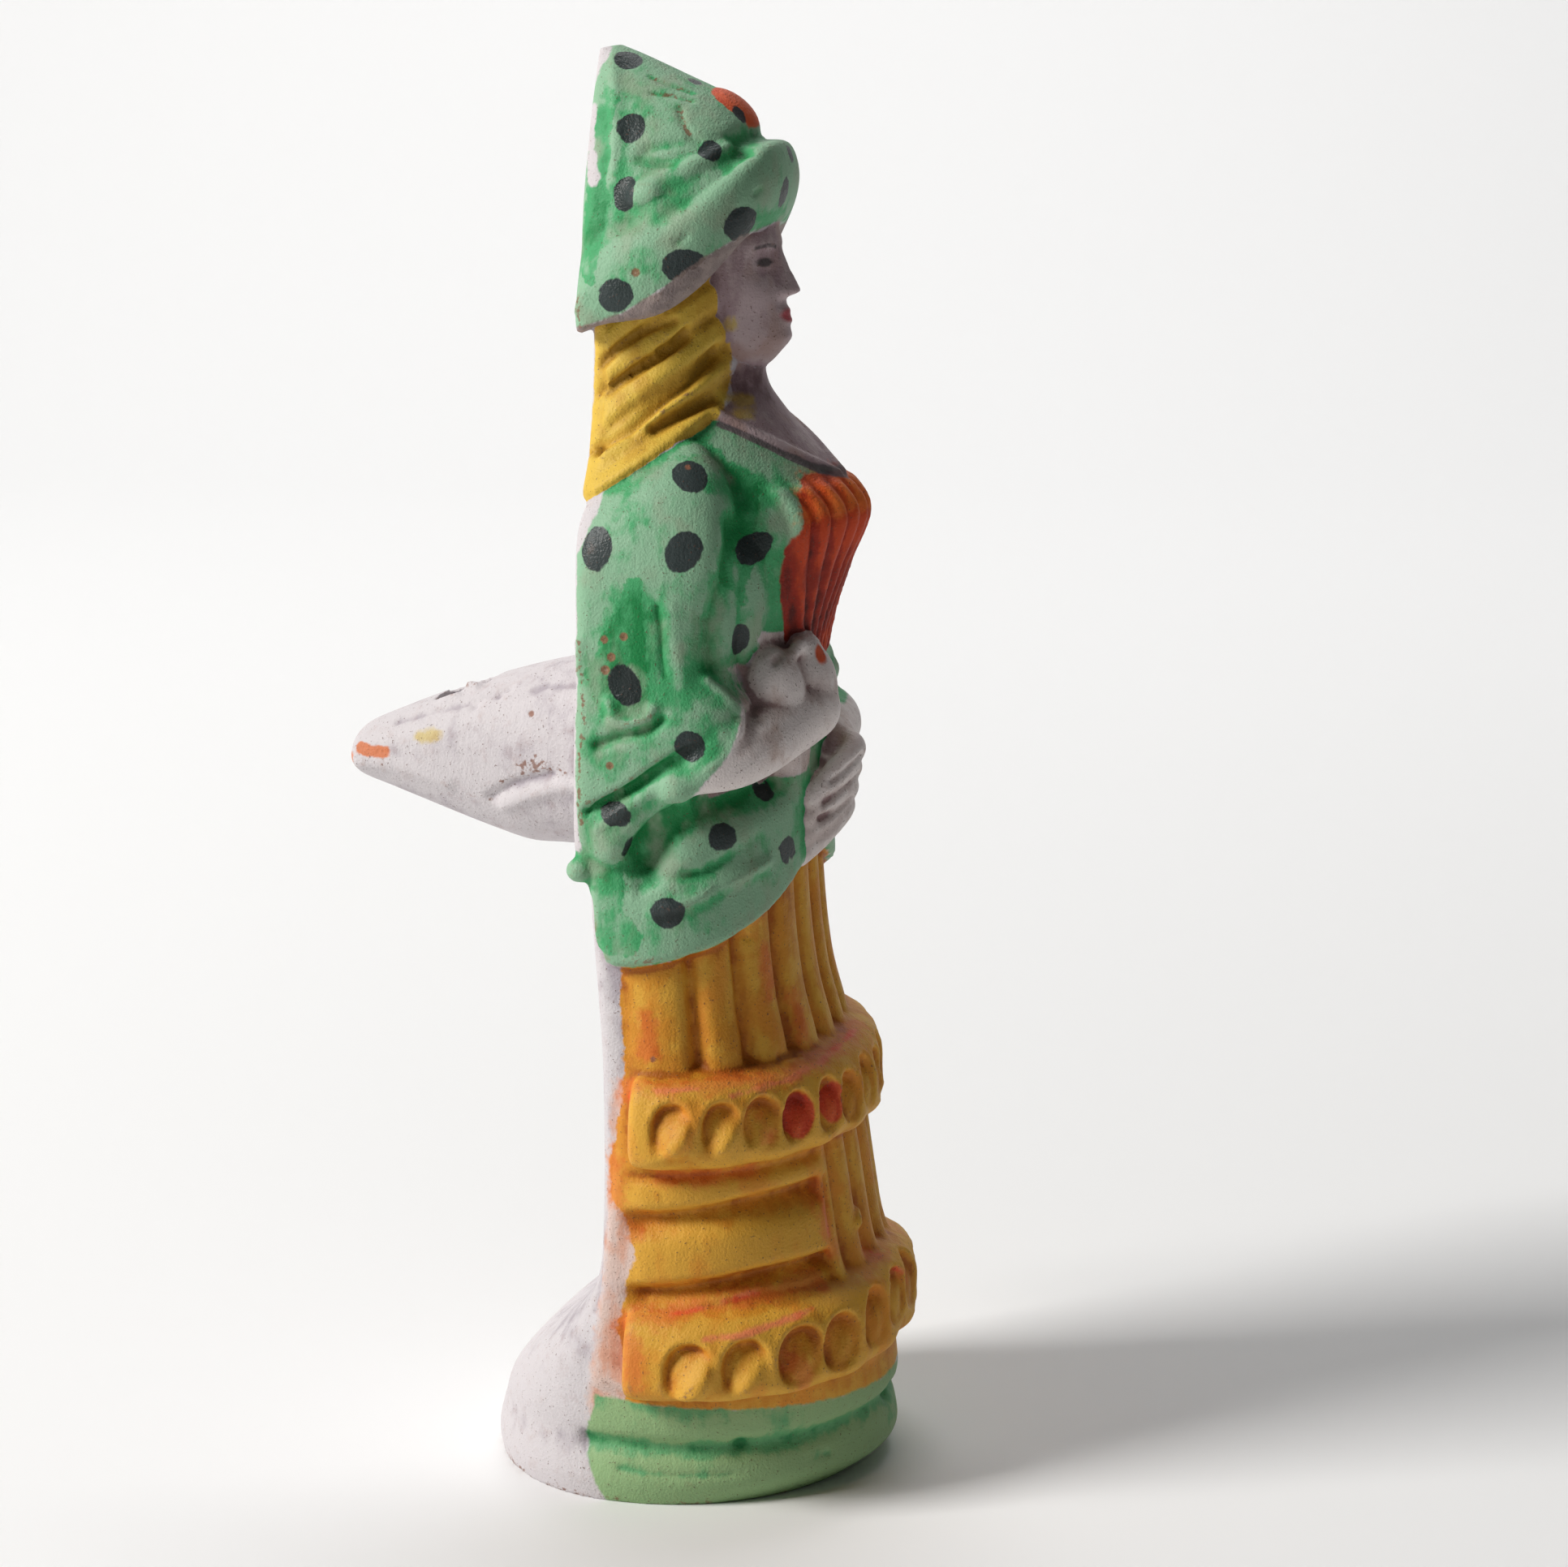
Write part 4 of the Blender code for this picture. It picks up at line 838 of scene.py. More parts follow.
@dataclass(frozen=True)
class Whistle:
    """The whistle luted to her back: a hollow beak with a windway at the lips and a window in its top.

    Attributes:
        lips_y, lips_z: Where the lips are.
        root_y, root_top, root_half_width: The end that meets her back.
        belly_y, belly_z: Where the under line starts to rise, and its height there.
        mouth_width, mouth_height: The lips.
        wall: Thickness of the clay round the sound chamber.
        windway, window: Width, height and length of the windway; width and length of the window.
        roof: Clay over the windway.
        flare: How far the wet clay was smeared out round the root.
    """

    lips_y: float = 50.2
    lips_z: float = 100.0
    root_y: float = 8.4
    root_top: float = 116.0
    root_half_width: float = 14.0
    belly_y: float = 24.0
    belly_z: float = 88.2
    mouth_width: float = 14.0
    mouth_height: float = 6.6
    wall: float = 3.4
    windway: tuple[float, float, float] = (9.0, 1.4, 12.0)
    window: tuple[float, float] = (7.5, 5.2)
    roof: float = 2.7
    flare: float = 2.2

    def share(self, y: float) -> float:
        """0 at the root, 1 at the lips."""
        return (y - self.root_y) / (self.lips_y - self.root_y)

    def top(self, y: float) -> float:
        """Height of the top line, a slightly bowed slope."""
        return self.root_top + (self.lips_z + self.mouth_height / 2 - self.root_top) * self.share(y) ** 1.55

    def hoop(self, y: float, inset: float = 0.0) -> Hoop:
        """The section at y, moved in from the surface by the inset."""
        rise = max(0.0, (y - self.belly_y) / (self.lips_y - self.belly_y)) ** 1.1
        bottom = self.belly_z + (self.lips_z - self.mouth_height / 2 - self.belly_z) * rise
        half = self.root_half_width + (self.mouth_width / 2 - self.root_half_width) * self.share(y) ** 1.3
        return Hoop((y, self.top(y) - inset), (y, bottom + inset), half - inset, 0.5, 2.3, 2.3)

    def lumps(self) -> list[Lump]:
        """The hollow beak, with its hollows already cut."""
        stations = np.linspace(self.root_y, self.lips_y - 1.2, 9)
        hoops = [self.hoop(y, -self.flare * math.exp(-(y - self.root_y) / self.flare)) for y in stations]
        outside = Loft([*hoops, self.hoop(self.lips_y, 0.9)], front_columns=70, back_columns=70)
        body = as_object(outside.lump(Clay.WHISTLE))
        cutters = [self.chamber(), *self.voicing()]
        for cutter in cutters:
            hollow = body.modifiers.new(cutter.name, "BOOLEAN")
            hollow.object = cutter
        mesh = applied(body)
        points = mesh_numbers(mesh, "vertices", "co", 3) / MILLIMETRE
        faces = [list(face.vertices) for face in mesh.polygons]
        for used in (body, *cutters):
            bpy.data.objects.remove(used, do_unlink=True)
        return [Lump(Clay.WHISTLE, points, faces, np.zeros(len(points)))]

    def chamber(self) -> bpy.types.Object:
        """The sound chamber: the whistle's own form one wall further in, rounded at both ends."""
        start, end, rounding = self.root_y + self.wall, self.lips_y - self.windway[2], 3.0
        hoops = [self.hoop(y, self.wall) for y in (start + rounding, (start + end) / 2, end - rounding)]
        first, last = self.hoop(start, self.wall + rounding), self.hoop(end, self.wall + 0.4 * rounding)
        return as_object(Loft([first, *hoops, last], 1.5, 24, 24).lump(Clay.WHISTLE))

    def voicing(self) -> list[bpy.types.Object]:
        """The windway, the window at its end, and the ramp that leaves the window's far edge as a blade."""
        width, height, length = self.windway
        end = self.lips_y - length
        start = end - self.window[1]
        tilt = -math.atan2(self.top(end) - self.top(self.lips_y), length)
        middle = self.lips_y - length / 2
        windway_z = self.top(middle) - (self.roof + height / 2) / math.cos(tilt)
        high, low = self.top(start) + 2.0, self.top(end) - self.wall - 2.0
        ramp_tilt = tilt - math.radians(24)
        blade = np.array([0.0, start, self.top(start) - self.wall + 0.9])
        ramp_middle = blade + turned_about_x(np.array([0.0, -3.5, 2.5]), ramp_tilt)
        return [
            slab((width, 1.6 * length, height), (0.0, middle + 0.1 * length, windway_z), tilt),
            slab((*self.window, high - low), (0.0, (start + end) / 2, (high + low) / 2)),
            slab((self.window[0], 7.0, 5.0), tuple(ramp_middle), ramp_tilt),
        ]


def slab(size: Point, middle: Point, tilt: float = 0.0) -> bpy.types.Object:
    """A plain cutting block of that size about its middle, tilted about X."""
    ring = ((-0.5, -0.5), (0.5, -0.5), (0.5, 0.5), (-0.5, 0.5))
    corners = np.array([(x, y, z) for z in (-0.5, 0.5) for x, y in ring])
    points = turned_about_x(corners * np.array(size), tilt) + np.array(middle)
    return as_object(ringed(Clay.WHISTLE, points.reshape(2, 4, 3)))


# Tool marks


@dataclass(frozen=True)
class Stroke:
    """A line drawn in the clay with a tool or a fingertip.

    Attributes:
        rise: How far the middle of the line stands up, or is cut in where it is below 0.
        spread: Half width of the line.
        path: Points along it, on the surface.
        paired: Whether her other side has the same line.
    """

    rise: float
    spread: float
    path: Line
    paired: bool = False

    def paths(self) -> list[Array]:
        """The line, and the one on her other side where it is paired."""
        line = np.array(self.path, float)
        return [line, line * (-1.0, 1.0, 1.0)] if self.paired else [line]

    def height(self, points: Array) -> Array:
        """How far each point is moved: rise times exp(-(d / spread)^2), d the distance to the line."""
        total = np.zeros(len(points))
        for line in self.paths():
            reach = 2.6 * self.spread
            near = np.all((points > line.min(axis=0) - reach) & (points < line.max(axis=0) + reach), axis=1)
            if near.any():
                total[near] += self.rise * hump(distance_to_line(points[near], line), 0.0, self.spread)
        return total


def distance_to_line(points: Array, line: Array) -> Array:
    """Distance from each point to a line: the least over its pieces, each reached at a clipped share."""
    if len(line) == 1:
        return np.linalg.norm(points - line[0], axis=1)
    best = np.full(len(points), np.inf)
    for start, end in zip(line, line[1:]):
        piece = end - start
        share = np.clip((points - start) @ piece / (piece @ piece), 0.0, 1.0)
        best = np.minimum(best, np.linalg.norm(points - start - share[:, None] * piece, axis=1))
    return best


HAT_MARKS = (
    Stroke(0.45, 1.0, ((-3.4, 10.9, 198.0), (-7.7, 9.4, 193.2), (-11.6, 8.0, 187.2),
        (-13.6, 7.6, 182.4)), True),
    Stroke(-0.55, 0.8, ((-12.2, 3.3, 186.3), (-11.4, 0.0, 186.9), (-10.1, -3.0, 187.1)), True),
    Stroke(-0.8, 0.9, ((-12.5, 4.0, 184.9), (-12.7, -0.4, 184.2), (-10.8, -3.7, 185.3)), True),
    Stroke(-0.5, 0.8, ((-15.8, 0.4, 181.9), (-15.4, -2.9, 182.3), (-14.1, -5.1, 183.9))),
    Stroke(1.2, 2.1, ((-14.6, 4.0, 180.6), (-15.6, 2.0, 180.6)), True),
    Stroke(-1.0, 1.5, ((-15.4, 5.0, 175.8), (-16.4, 0.4, 177.2), (-15.6, -2.9, 179.8), (-13.5, -6.7, 183.4),
        (-8.0, -8.9, 185.7)), True),
    Stroke(-0.35, 0.45, ((-12.7, -8.6, 178.4), (-11.5, -9.5, 178.9))),
    Stroke(-0.35, 0.45, ((-10.0, -10.8, 180.5), (-8.8, -11.3, 181.0))),
    Stroke(-0.3, 0.45, ((-17.4, -2.2, 174.3), (-16.8, -3.3, 175.1))),
    Stroke(-0.3, 0.4, ((-16.3, -0.2, 177.4), (-16.2, -1.4, 177.8))),
    Stroke(-0.3, 0.4, ((-4.9, 5.3, 195.5), (-5.2, 2.8, 194.6), (-5.1, -0.7, 193.4))),
    Stroke(-0.3, 0.4, ((-7.2, 4.3, 193.5), (-6.8, 1.4, 193.1), (-6.5, -1.1, 192.4))),
    Stroke(-0.3, 0.5, ((-8.1, 0.1, 191.5), (-9.6, -0.8, 189.7), (-10.2, -2.2, 187.8))),
    Stroke(0.5, 0.9, ((-18.5, 10.8, 167.0), (-18.5, 11.4, 165.0)), True),
)
HAIR_MARKS = (
    Stroke(-1.0, 0.8, ((-14.6, 10.2, 153.5), (-14.9, 6.6, 155.8), (-13.7, 1.2, 158.9),
        (-11.7, -1.7, 161.3)), True),
    Stroke(-1.3, 0.9, ((-17.9, 9.2, 146.4), (-17.6, 4.4, 148.8), (-15.9, 1.4, 152.5), (-13.2, -2.1, 155.2),
        (-8.3, -5.0, 158.8)), True),
    Stroke(-1.2, 0.8, ((-17.3, 1.0, 149.5), (-15.4, -1.5, 151.1), (-10.2, -5.6, 153.3)), True),
    Stroke(-0.8, 0.7, ((-14.4, 9.6, 157.5), (-14.3, 7.2, 160.1), (-14.0, 3.7, 162.2),
        (-12.8, -0.3, 163.5)), True),
    Stroke(-0.5, 0.45, ((-13.5, 1.5, 159.4), (-12.9, -0.3, 160.1), (-11.4, -1.6, 162.5))),
    Stroke(-0.6, 0.5, ((-16.4, 10.6, 145.9), (-18.3, 8.2, 146.5))),
)
JACKET_MARKS = (
    Stroke(-1.5, 2.1, ((-20.4, -11.4, 137.0), (-22.6, -11.0, 131.6), (-24.4, -9.4, 124.9),
        (-24.2, -9.6, 119.4)), True),
    Stroke(-0.35, 0.35, ((-27.2, -2.3, 127.0), (-27.1, -2.8, 123.5), (-27.3, -2.9, 120.1),
        (-27.4, -3.3, 117.8)), True),
    Stroke(0.3, 1.2, ((-27.0, -4.2, 127.0), (-26.9, -4.8, 121.0), (-26.6, -5.4, 117.0)), True),
    Stroke(0.7, 0.9, ((-28.8, 4.0, 114.0), (-29.3, 3.3, 111.9), (-29.3, 1.3, 111.2), (-28.9, -1.6, 112.2),
        (-28.6, -2.0, 113.4))),
    Stroke(-0.9, 0.8, ((-29.8, 5.4, 108.3), (-29.6, 2.9, 109.4), (-29.1, -1.7, 110.8),
        (-28.6, -3.0, 112.0)), True),
    Stroke(0.6, 0.8, ((-25.0, -8.7, 117.1), (-24.0, -10.6, 115.0), (-22.8, -12.4, 112.0),
        (-25.1, -12.9, 109.6), (-26.8, -12.1, 107.5), (-28.5, -9.8, 105.4)), True),
    Stroke(-1.3, 0.7, ((-30.0, 6.9, 99.0), (-29.5, 3.4, 101.1), (-29.2, 0.2, 103.0), (-29.3, -3.5, 105.6),
        (-28.8, -7.0, 107.9)), True),
    Stroke(0.7, 1.0, ((-28.9, -2.3, 85.6), (-26.2, -6.3, 86.8), (-24.7, -10.0, 88.6),
        (-17.0, -14.7, 90.8)), True),
    Stroke(-0.8, 0.9, ((-27.9, 0.1, 88.5), (-26.5, -2.8, 89.9), (-25.4, -8.1, 90.6),
        (-17.7, -12.8, 94.2)), True),
    Stroke(-3.0, 2.6, ((-28.0, -0.4, 92.0), (-28.0, -3.2, 97.4), (-26.4, -7.6, 99.6), (-20.0, -12.6, 100.2),
        (-13.0, -15.8, 101.6)), True),
    Stroke(-0.4, 0.7, ((-27.9, 1.9, 88.4), (-27.2, 2.8, 84.9), (-26.4, 4.3, 81.0)), True),
    Stroke(-0.5, 0.6, ((-15.7, -15.2, 116.5), (-16.0, -15.4, 118.3), (-14.7, -16.2, 119.8),
        (-12.8, -17.7, 120.1))),
    Stroke(-0.8, 0.7, ((0.9, -23.2, 102.4), (-2.7, -22.1, 101.0), (-4.8, -20.5, 99.9))),
    Stroke(-0.8, 0.7, ((1.6, -23.2, 99.6), (-2.6, -21.7, 98.1), (-5.4, -19.7, 96.7))),
    Stroke(-0.7, 0.7, ((0.1, -22.5, 96.4), (-3.1, -21.1, 95.2), (-5.7, -19.2, 94.5))),
    Stroke(-0.9, 0.9, ((3.2, -19.4, 106.2), (1.4, -19.2, 104.8), (-0.6, -18.8, 103.6))),
)
SKIRT_MARKS = (
    Stroke(-0.5, 0.6, ((-16.8, -16.2, 63.4), (-13.6, -17.8, 62.9))),
    Stroke(0.5, 0.7, ((-16.6, -17.0, 62.2), (-14.0, -18.0, 62.0))),
    Stroke(-0.4, 0.4, ((-20.4, -11.1, 80.8), (-16.9, -12.6, 79.8))),
    Stroke(-1.0, 0.7, ((-12.0, -21.6, 44.8), (-12.0, -21.8, 41.8), (-12.7, -21.8, 36.4))),
    Stroke(0.9, 0.7, ((-4.0, -23.6, 37.8), (-5.4, -24.2, 36.4))),
    Stroke(-0.5, 0.8, ((-25.8, 6.8, 34.0), (-26.6, 7.2, 28.0))),
    Stroke(-1.0, 1.3, ((-26.6, 9.0, 8.6), (-27.6, 0.9, 8.4), (-26.6, -5.4, 8.2),
        (-23.6, -12.8, 8.4)), True),
    Stroke(-1.0, 1.3, ((-23.6, -12.8, 8.4), (-18.6, -19.7, 8.8), (-10.4, -26.2, 9.6),
        (0.0, -28.0, 9.8)), True),
    Stroke(-0.35, 0.5, ((-27.7, 3.7, 5.3), (-27.2, -3.2, 4.6), (-24.6, -11.1, 4.7), (-15.1, -22.9, 5.6))),
)
WHISTLE_MARKS = (
    Stroke(-0.45, 0.7, ((-6.1, 42.9, 105.1), (-6.8, 37.5, 106.9), (-7.5, 30.9, 108.8),
        (-7.2, 26.0, 110.8)), True),
    Stroke(-0.5, 0.6, ((-8.3, 30.6, 108.3),)),
    Stroke(-0.5, 0.6, ((-7.9, 27.3, 109.9),)),
    Stroke(0.5, 1.2, ((-7.4, 48.6, 99.2), (-8.4, 43.4, 99.3), (-9.3, 38.8, 98.7), (-10.0, 34.4, 97.3))),
    Stroke(-0.7, 0.8, ((-10.7, 27.4, 95.9), (-11.8, 24.3, 97.9), (-12.3, 21.5, 99.0),
        (-12.9, 17.7, 100.1))),
    Stroke(0.6, 1.1, ((-11.1, 25.3, 94.8), (-12.1, 21.6, 96.6), (-12.9, 17.7, 98.0), (-13.6, 12.0, 99.4))),
    Stroke(-0.3, 0.6, ((-8.6, 21.6, 111.0), (-8.5, 19.6, 111.8), (-9.0, 17.3, 112.0),
        (-10.0, 12.6, 112.6))),
    Stroke(1.0, 0.8, ((-4.6, 31.4, 110.0), (-4.2, 32.6, 110.2))),
    Stroke(1.2, 0.6, ((-4.4, 33.4, 110.6),)),
    Stroke(0.5, 0.6, ((-5.2, 34.3, 109.0), (-5.2, 36.4, 108.4))),
    Stroke(0.5, 0.8, ((-27.4, 8.6, 121.7), (-27.7, 8.6, 119.8), (-27.8, 8.6, 117.6))),
)
PITS = (
    ((-27.9, 4.9, 122.4), 0.4), ((-27.8, 2.2, 122.9), 0.42), ((-28.0, 3.9, 120.1), 0.46),
    ((-28.1, 4.7, 118.3), 0.5), ((-30.0, 3.6, 105.7), 0.4), ((-21.0, -4.8, 145.2), 0.4),
    ((-18.4, 3.1, 170.4), 0.55), ((-27.6, -1.5, 64.8), 0.35), ((-10.6, 21.2, 108.0), 0.5),
)


# One skin of clay

# A lump's number is kept as that share of a colour's 0 to 1
LABEL_STEPS = 16


@dataclass
class Skin:
    """The fused figure: its object, and what is known at each vertex.

    Attributes:
        piece: The object.
        points: Vertices, in millimetres.
        clay: Number of the lump that each vertex came from.
        to_front: As on the lumps.
        edges: Pairs of neighbouring vertices.
        neighbours: How many each vertex has.
    """

    piece: bpy.types.Object
    points: Array
    clay: Array
    to_front: Array
    edges: Array
    neighbours: Array = field(init=False)

    def __post_init__(self) -> None:
        """Counts each vertex's neighbours."""
        self.neighbours = np.bincount(self.edges.ravel(), minlength=len(self.points))

    def softened(self, values: Array, passes: int) -> Array:
        """Numbers on the vertices, each replaced that many times by the mean of itself and its neighbours."""
        one, other = self.edges.T
        for _ in range(passes):
            total = np.bincount(one, values[other], len(values))
            total = total + np.bincount(other, values[one], len(values))
            values = (values + total) / (self.neighbours + 1)
        return values

    def share_of(self, *lumps: Clay) -> Array:
        """About how far inside those lumps each vertex is, in millimetres, from their blurred outline."""
        inside = np.isin(self.clay, [lump.value for lump in lumps]).astype(float)
        return 3.0 * (self.softened(inside, 4) - 0.5)

    def keep(self, name: str, values: Array) -> None:
        """Stores numbers on the vertices for the material to read."""
        layer = self.piece.data.attributes.new(name, "FLOAT", "POINT")
        layer.data.foreach_set("value", np.ascontiguousarray(values, np.float32))


@dataclass(frozen=True)
class Press:
    """How the lumps are fused, softened, marked and thinned.

    Attributes:
        grain: Size of the voxels that fuse them.
        softening: Passes that round what the fusing left sharp.
        most_triangles: Triangles kept.
        source_layer: The name under which the lumps' own numbers are carried over.
    """

    grain: float = 0.42
    softening: int = 3
    most_triangles: int = 192_000
    source_layer: str = "lump"

    def press(self, lumps: Iterable[Lump], marks: Iterable[Stroke]) -> Skin:
        """Makes one skin of the lumps.

        Args:
            lumps: The closed lumps, overlapping.
            marks: Lines to draw in the fused clay.

        Returns:
            The skin.
        """
        heap = self._heap(list(lumps))
        fused = placed("fused", self._applied(heap, self._fuse))
        self._mark(fused.data, marks)
        thinned = placed("thinned", self._applied(fused, self._thin))
        thinned.data.color_attributes.new(self.source_layer, "FLOAT_COLOR", "POINT")
        known = self._applied(thinned, lambda piece: self._ask(piece, heap))
        for used in (heap, fused, thinned):
            bpy.data.objects.remove(used, do_unlink=True)
        return self._skin(known)

    def _heap(self, lumps: list[Lump]) -> bpy.types.Object:
        """All lumps in one mesh, with each lump's number and to_front kept as a colour."""
        sizes = [len(lump.points) for lump in lumps]
        starts = np.cumsum([0, *sizes[:-1]])
        faces = [[at + start for at in face] for lump, start in zip(lumps, starts) for face in lump.faces]
        points = np.vstack([lump.points for lump in lumps])
        to_front = np.concatenate([lump.to_front for lump in lumps])
        heap = as_object(Lump(Clay.BODY, points, faces, to_front))
        layer = heap.data.color_attributes.new(self.source_layer, "FLOAT_COLOR", "POINT")
        known = np.ones((len(points), 4), np.float32)
        known[:, 0] = np.repeat([lump.clay.value / LABEL_STEPS for lump in lumps], sizes)
        known[:, 1] = to_front
        layer.data.foreach_set("color", known.ravel())
        return heap

    def _applied(self, piece: bpy.types.Object, dress: Callable[[bpy.types.Object], None]) -> bpy.types.Mesh:
        """A new mesh with the modifiers that dress adds; the piece itself is left without them."""
        dress(piece)
        made = applied(piece)
        piece.modifiers.clear()
        return made

    def _fuse(self, piece: bpy.types.Object) -> None:
        """Voxel remesh, then a light smoothing."""
        fuse = piece.modifiers.new("fuse", "REMESH")
        fuse.mode = "VOXEL"
        fuse.voxel_size = self.grain * MILLIMETRE
        soften = piece.modifiers.new("soften", "SMOOTH")
        soften.iterations = self.softening
        soften.factor = 0.5

    def _thin(self, piece: bpy.types.Object) -> None:
        """Collapses edges where the surface is flattest, down to the triangles kept."""
        piece.data.calc_loop_triangles()
        thin = piece.modifiers.new("thin", "DECIMATE")
        thin.ratio = min(1.0, self.most_triangles / len(piece.data.loop_triangles))

    def _ask(self, piece: bpy.types.Object, heap: bpy.types.Object) -> None:
        """Copies what the nearest lump knows to each vertex."""
        ask = piece.modifiers.new("ask", "DATA_TRANSFER")
        ask.object = heap
        ask.use_vert_data = True
        ask.data_types_verts = {"COLOR_VERTEX"}
        ask.vert_mapping = "POLYINTERP_NEAREST"
        ask.layers_vcol_vert_select_src = "ALL"
        ask.layers_vcol_vert_select_dst = "NAME"

    def _mark(self, mesh: bpy.types.Mesh, marks: Iterable[Stroke]) -> None:
        """Moves the vertices along their normals by the sum of all strokes, and levels the underside."""
        points = mesh_numbers(mesh, "vertices", "co", 3) / MILLIMETRE
        normals = mesh_numbers(mesh, "vertices", "normal", 3)
        rise = sum(mark.height(points) for mark in marks)
        points += normals * rise[:, None]
        low, high = np.array(CAD_BOX) / MILLIMETRE
        points = np.clip(points, low, high)
        mesh.vertices.foreach_set("co", (points * MILLIMETRE).ravel())
        mesh.update()

    def _skin(self, mesh: bpy.types.Mesh) -> Skin:
        """The finished object with what its vertices know."""
        mesh.name = "figurine_whistle"
        known = np.empty(len(mesh.vertices) * 4, np.float32)
        mesh.color_attributes[self.source_layer].data.foreach_get("color", known)
        known = known.reshape(-1, 4)
        mesh.color_attributes.remove(mesh.color_attributes[self.source_layer])
        mesh.materials.clear()
        mesh.polygons.foreach_set("use_smooth", np.ones(len(mesh.polygons), bool))
        points = mesh_numbers(mesh, "vertices", "co", 3) / MILLIMETRE
        edges = mesh_numbers(mesh, "edges", "vertices", 2)
        clay = np.rint(known[:, 0] * LABEL_STEPS).astype(int)
        return Skin(placed(mesh.name, mesh), points, clay, known[:, 1].astype(float), edges)


# Paint on the skin


@dataclass(frozen=True)
class Blot:
    """A round dab of paint: an ellipsoid of touch, leaned in the side view.

    Attributes:
        centre: Its middle, on the surface.
        tall, wide: Half its length and half its width.
        lean: Degrees that its long way leans to the back at the top.
    """

    centre: Point
    tall: float
    wide: float
    lean: float = 0.0

    def inside(self, points: Array) -> Array:
        """Depth inside the dab: the shorter radius times one less the stretched distance to the middle."""
        offset = points - np.array(self.centre)
        lean = math.radians(self.lean)
        along = offset @ np.array([0.0, math.sin(lean), math.cos(lean)])
        across = np.sqrt(np.maximum((offset**2).sum(axis=1) - along**2, 0.0))
        return (1.0 - np.hypot(along / self.tall, across / self.wide)) * min(self.tall, self.wide)


HAT_DOTS = (
    Blot((-3.3, 8.9, 197.7), 1.7, 2.0),
    Blot((-1.5, 0.1, 194.9), 1.0, 1.2),
    Blot((-3.3, -6.7, 190.6), 1.4, 0.9, 25),
    Blot((-10.8, 6.1, 189.0), 2.35, 2.1, 10),
    Blot((-10.6, -4.9, 186.2), 2.0, 1.6, -20),
    Blot((-15.0, 5.7, 180.6), 2.4, 1.9),
    Blot((-2.7, -12.9, 180.1), 2.2, 1.5, -10),
    Blot((0.6, -12.8, 185.3), 1.4, 1.0),
    Blot((-11.5, -9.5, 176.5), 2.4, 3.0),
    Blot((-17.1, -3.1, 171.4), 2.2, 2.9, 10),
    Blot((-19.0, 5.8, 167.4), 2.3, 2.4),
)
COAT_DOTS = (
    Blot((-21.8, -5.3, 144.3), 2.8, 2.5, 25),
    Blot((-26.7, 6.3, 134.5), 3.3, 2.2),
    Blot((-26.2, -5.7, 134.4), 3.1, 2.3, -35),
    Blot((-17.3, -12.6, 133.9), 2.0, 3.1, 30),
    Blot((-19.2, -11.0, 121.8), 2.3, 1.9, 10),
    Blot((-28.3, 1.9, 116.4), 3.2, 2.1, 28),
    Blot((-28.3, -7.1, 108.6), 2.2, 2.1, 30),
    Blot((-30.2, 3.2, 99.2), 1.8, 2.6, -20),
    Blot((-14.6, -14.4, 101.0), 2.3, 2.6),
    Blot((-22.2, -9.5, 95.0), 1.9, 2.4),
    Blot((-28.2, 0.6, 93.2), 2.6, 1.9),
    Blot((-12.2, -15.8, 91.5), 1.9, 2.5, -20),
    Blot((-28.0, -3.8, 85.4), 2.2, 2.4),
)


@dataclass(frozen=True)
class Patch:
    """An area of paint outlined in the side view, as (y, z), on her right side.

    Attributes:
        outline: Corners in order.
        paired: Whether her other side has it too.
    """

    outline: tuple[tuple[float, float], ...]
    paired: bool = False

    def inside(self, points: Array) -> Array:
        """Distance to the nearest edge of the outline, above 0 inside by the count of edges crossed."""
        flat = points[:, 1:]
        corners = np.array(self.outline, float)
        best = np.full(len(points), np.inf)
        crossed = np.zeros(len(points), bool)
        for start, end in zip(corners, np.roll(corners, -1, axis=0)):
            piece = end - start
            share = np.clip((flat - start) @ piece / (piece @ piece), 0.0, 1.0)
            best = np.minimum(best, np.linalg.norm(flat - start - share[:, None] * piece, axis=1))
            spans = (start[1] > flat[:, 1]) != (end[1] > flat[:, 1])
            rise = piece[1] if piece[1] else 1e-9
            crossed ^= spans & (flat[:, 0] < start[0] + (flat[:, 1] - start[1]) * piece[0] / rise)
        signed = np.where(crossed, best, -best)
        return signed if self.paired else np.minimum(signed, -points[:, 0])


def painted_line(points: Array, half_width: float, *paths: Line) -> Array:
    """Depth inside lines drawn with a brush: the half width less the distance to the nearest line."""
    return half_width - np.min([distance_to_line(points, np.array(path, float)) for path in paths], axis=0)


def along(heights: Array, *table: tuple[float, float]) -> Array:
    """A number that changes with height: straight lines between (height, number) pairs."""
    at, value = np.array(sorted(table)).T
    return np.interp(heights, at, value)


# Slip on the forearm, its strip below the sleeve's edge, and on the coat beside the hand, as (y, z)
SLIP_PATCH = (
    (-13.2, 122.2), (-12.8, 120.0), (-12.0, 117.8), (-10.3, 118.4), (-11.4, 115.4), (-12.7, 112.9),
    (-12.9, 110.5), (-12.2, 107.6), (-10.3, 105.1), (-7.7, 101.9), (-6.6, 100.8), (-7.6, 99.9),
    (-12.0, 101.4), (-16.0, 101.2), (-22.0, 102.0), (-22.0, 112.0), (-19.0, 117.0), (-17.0, 121.0),
)
# Plain slip below the hair, at the back corner of the shoulder, as (y, z)
SHOULDER_PATCH = (
    (6.6, 142.8), (10.4, 141.4), (10.6, 132.6), (8.8, 134.0), (7.2, 138.4),
)
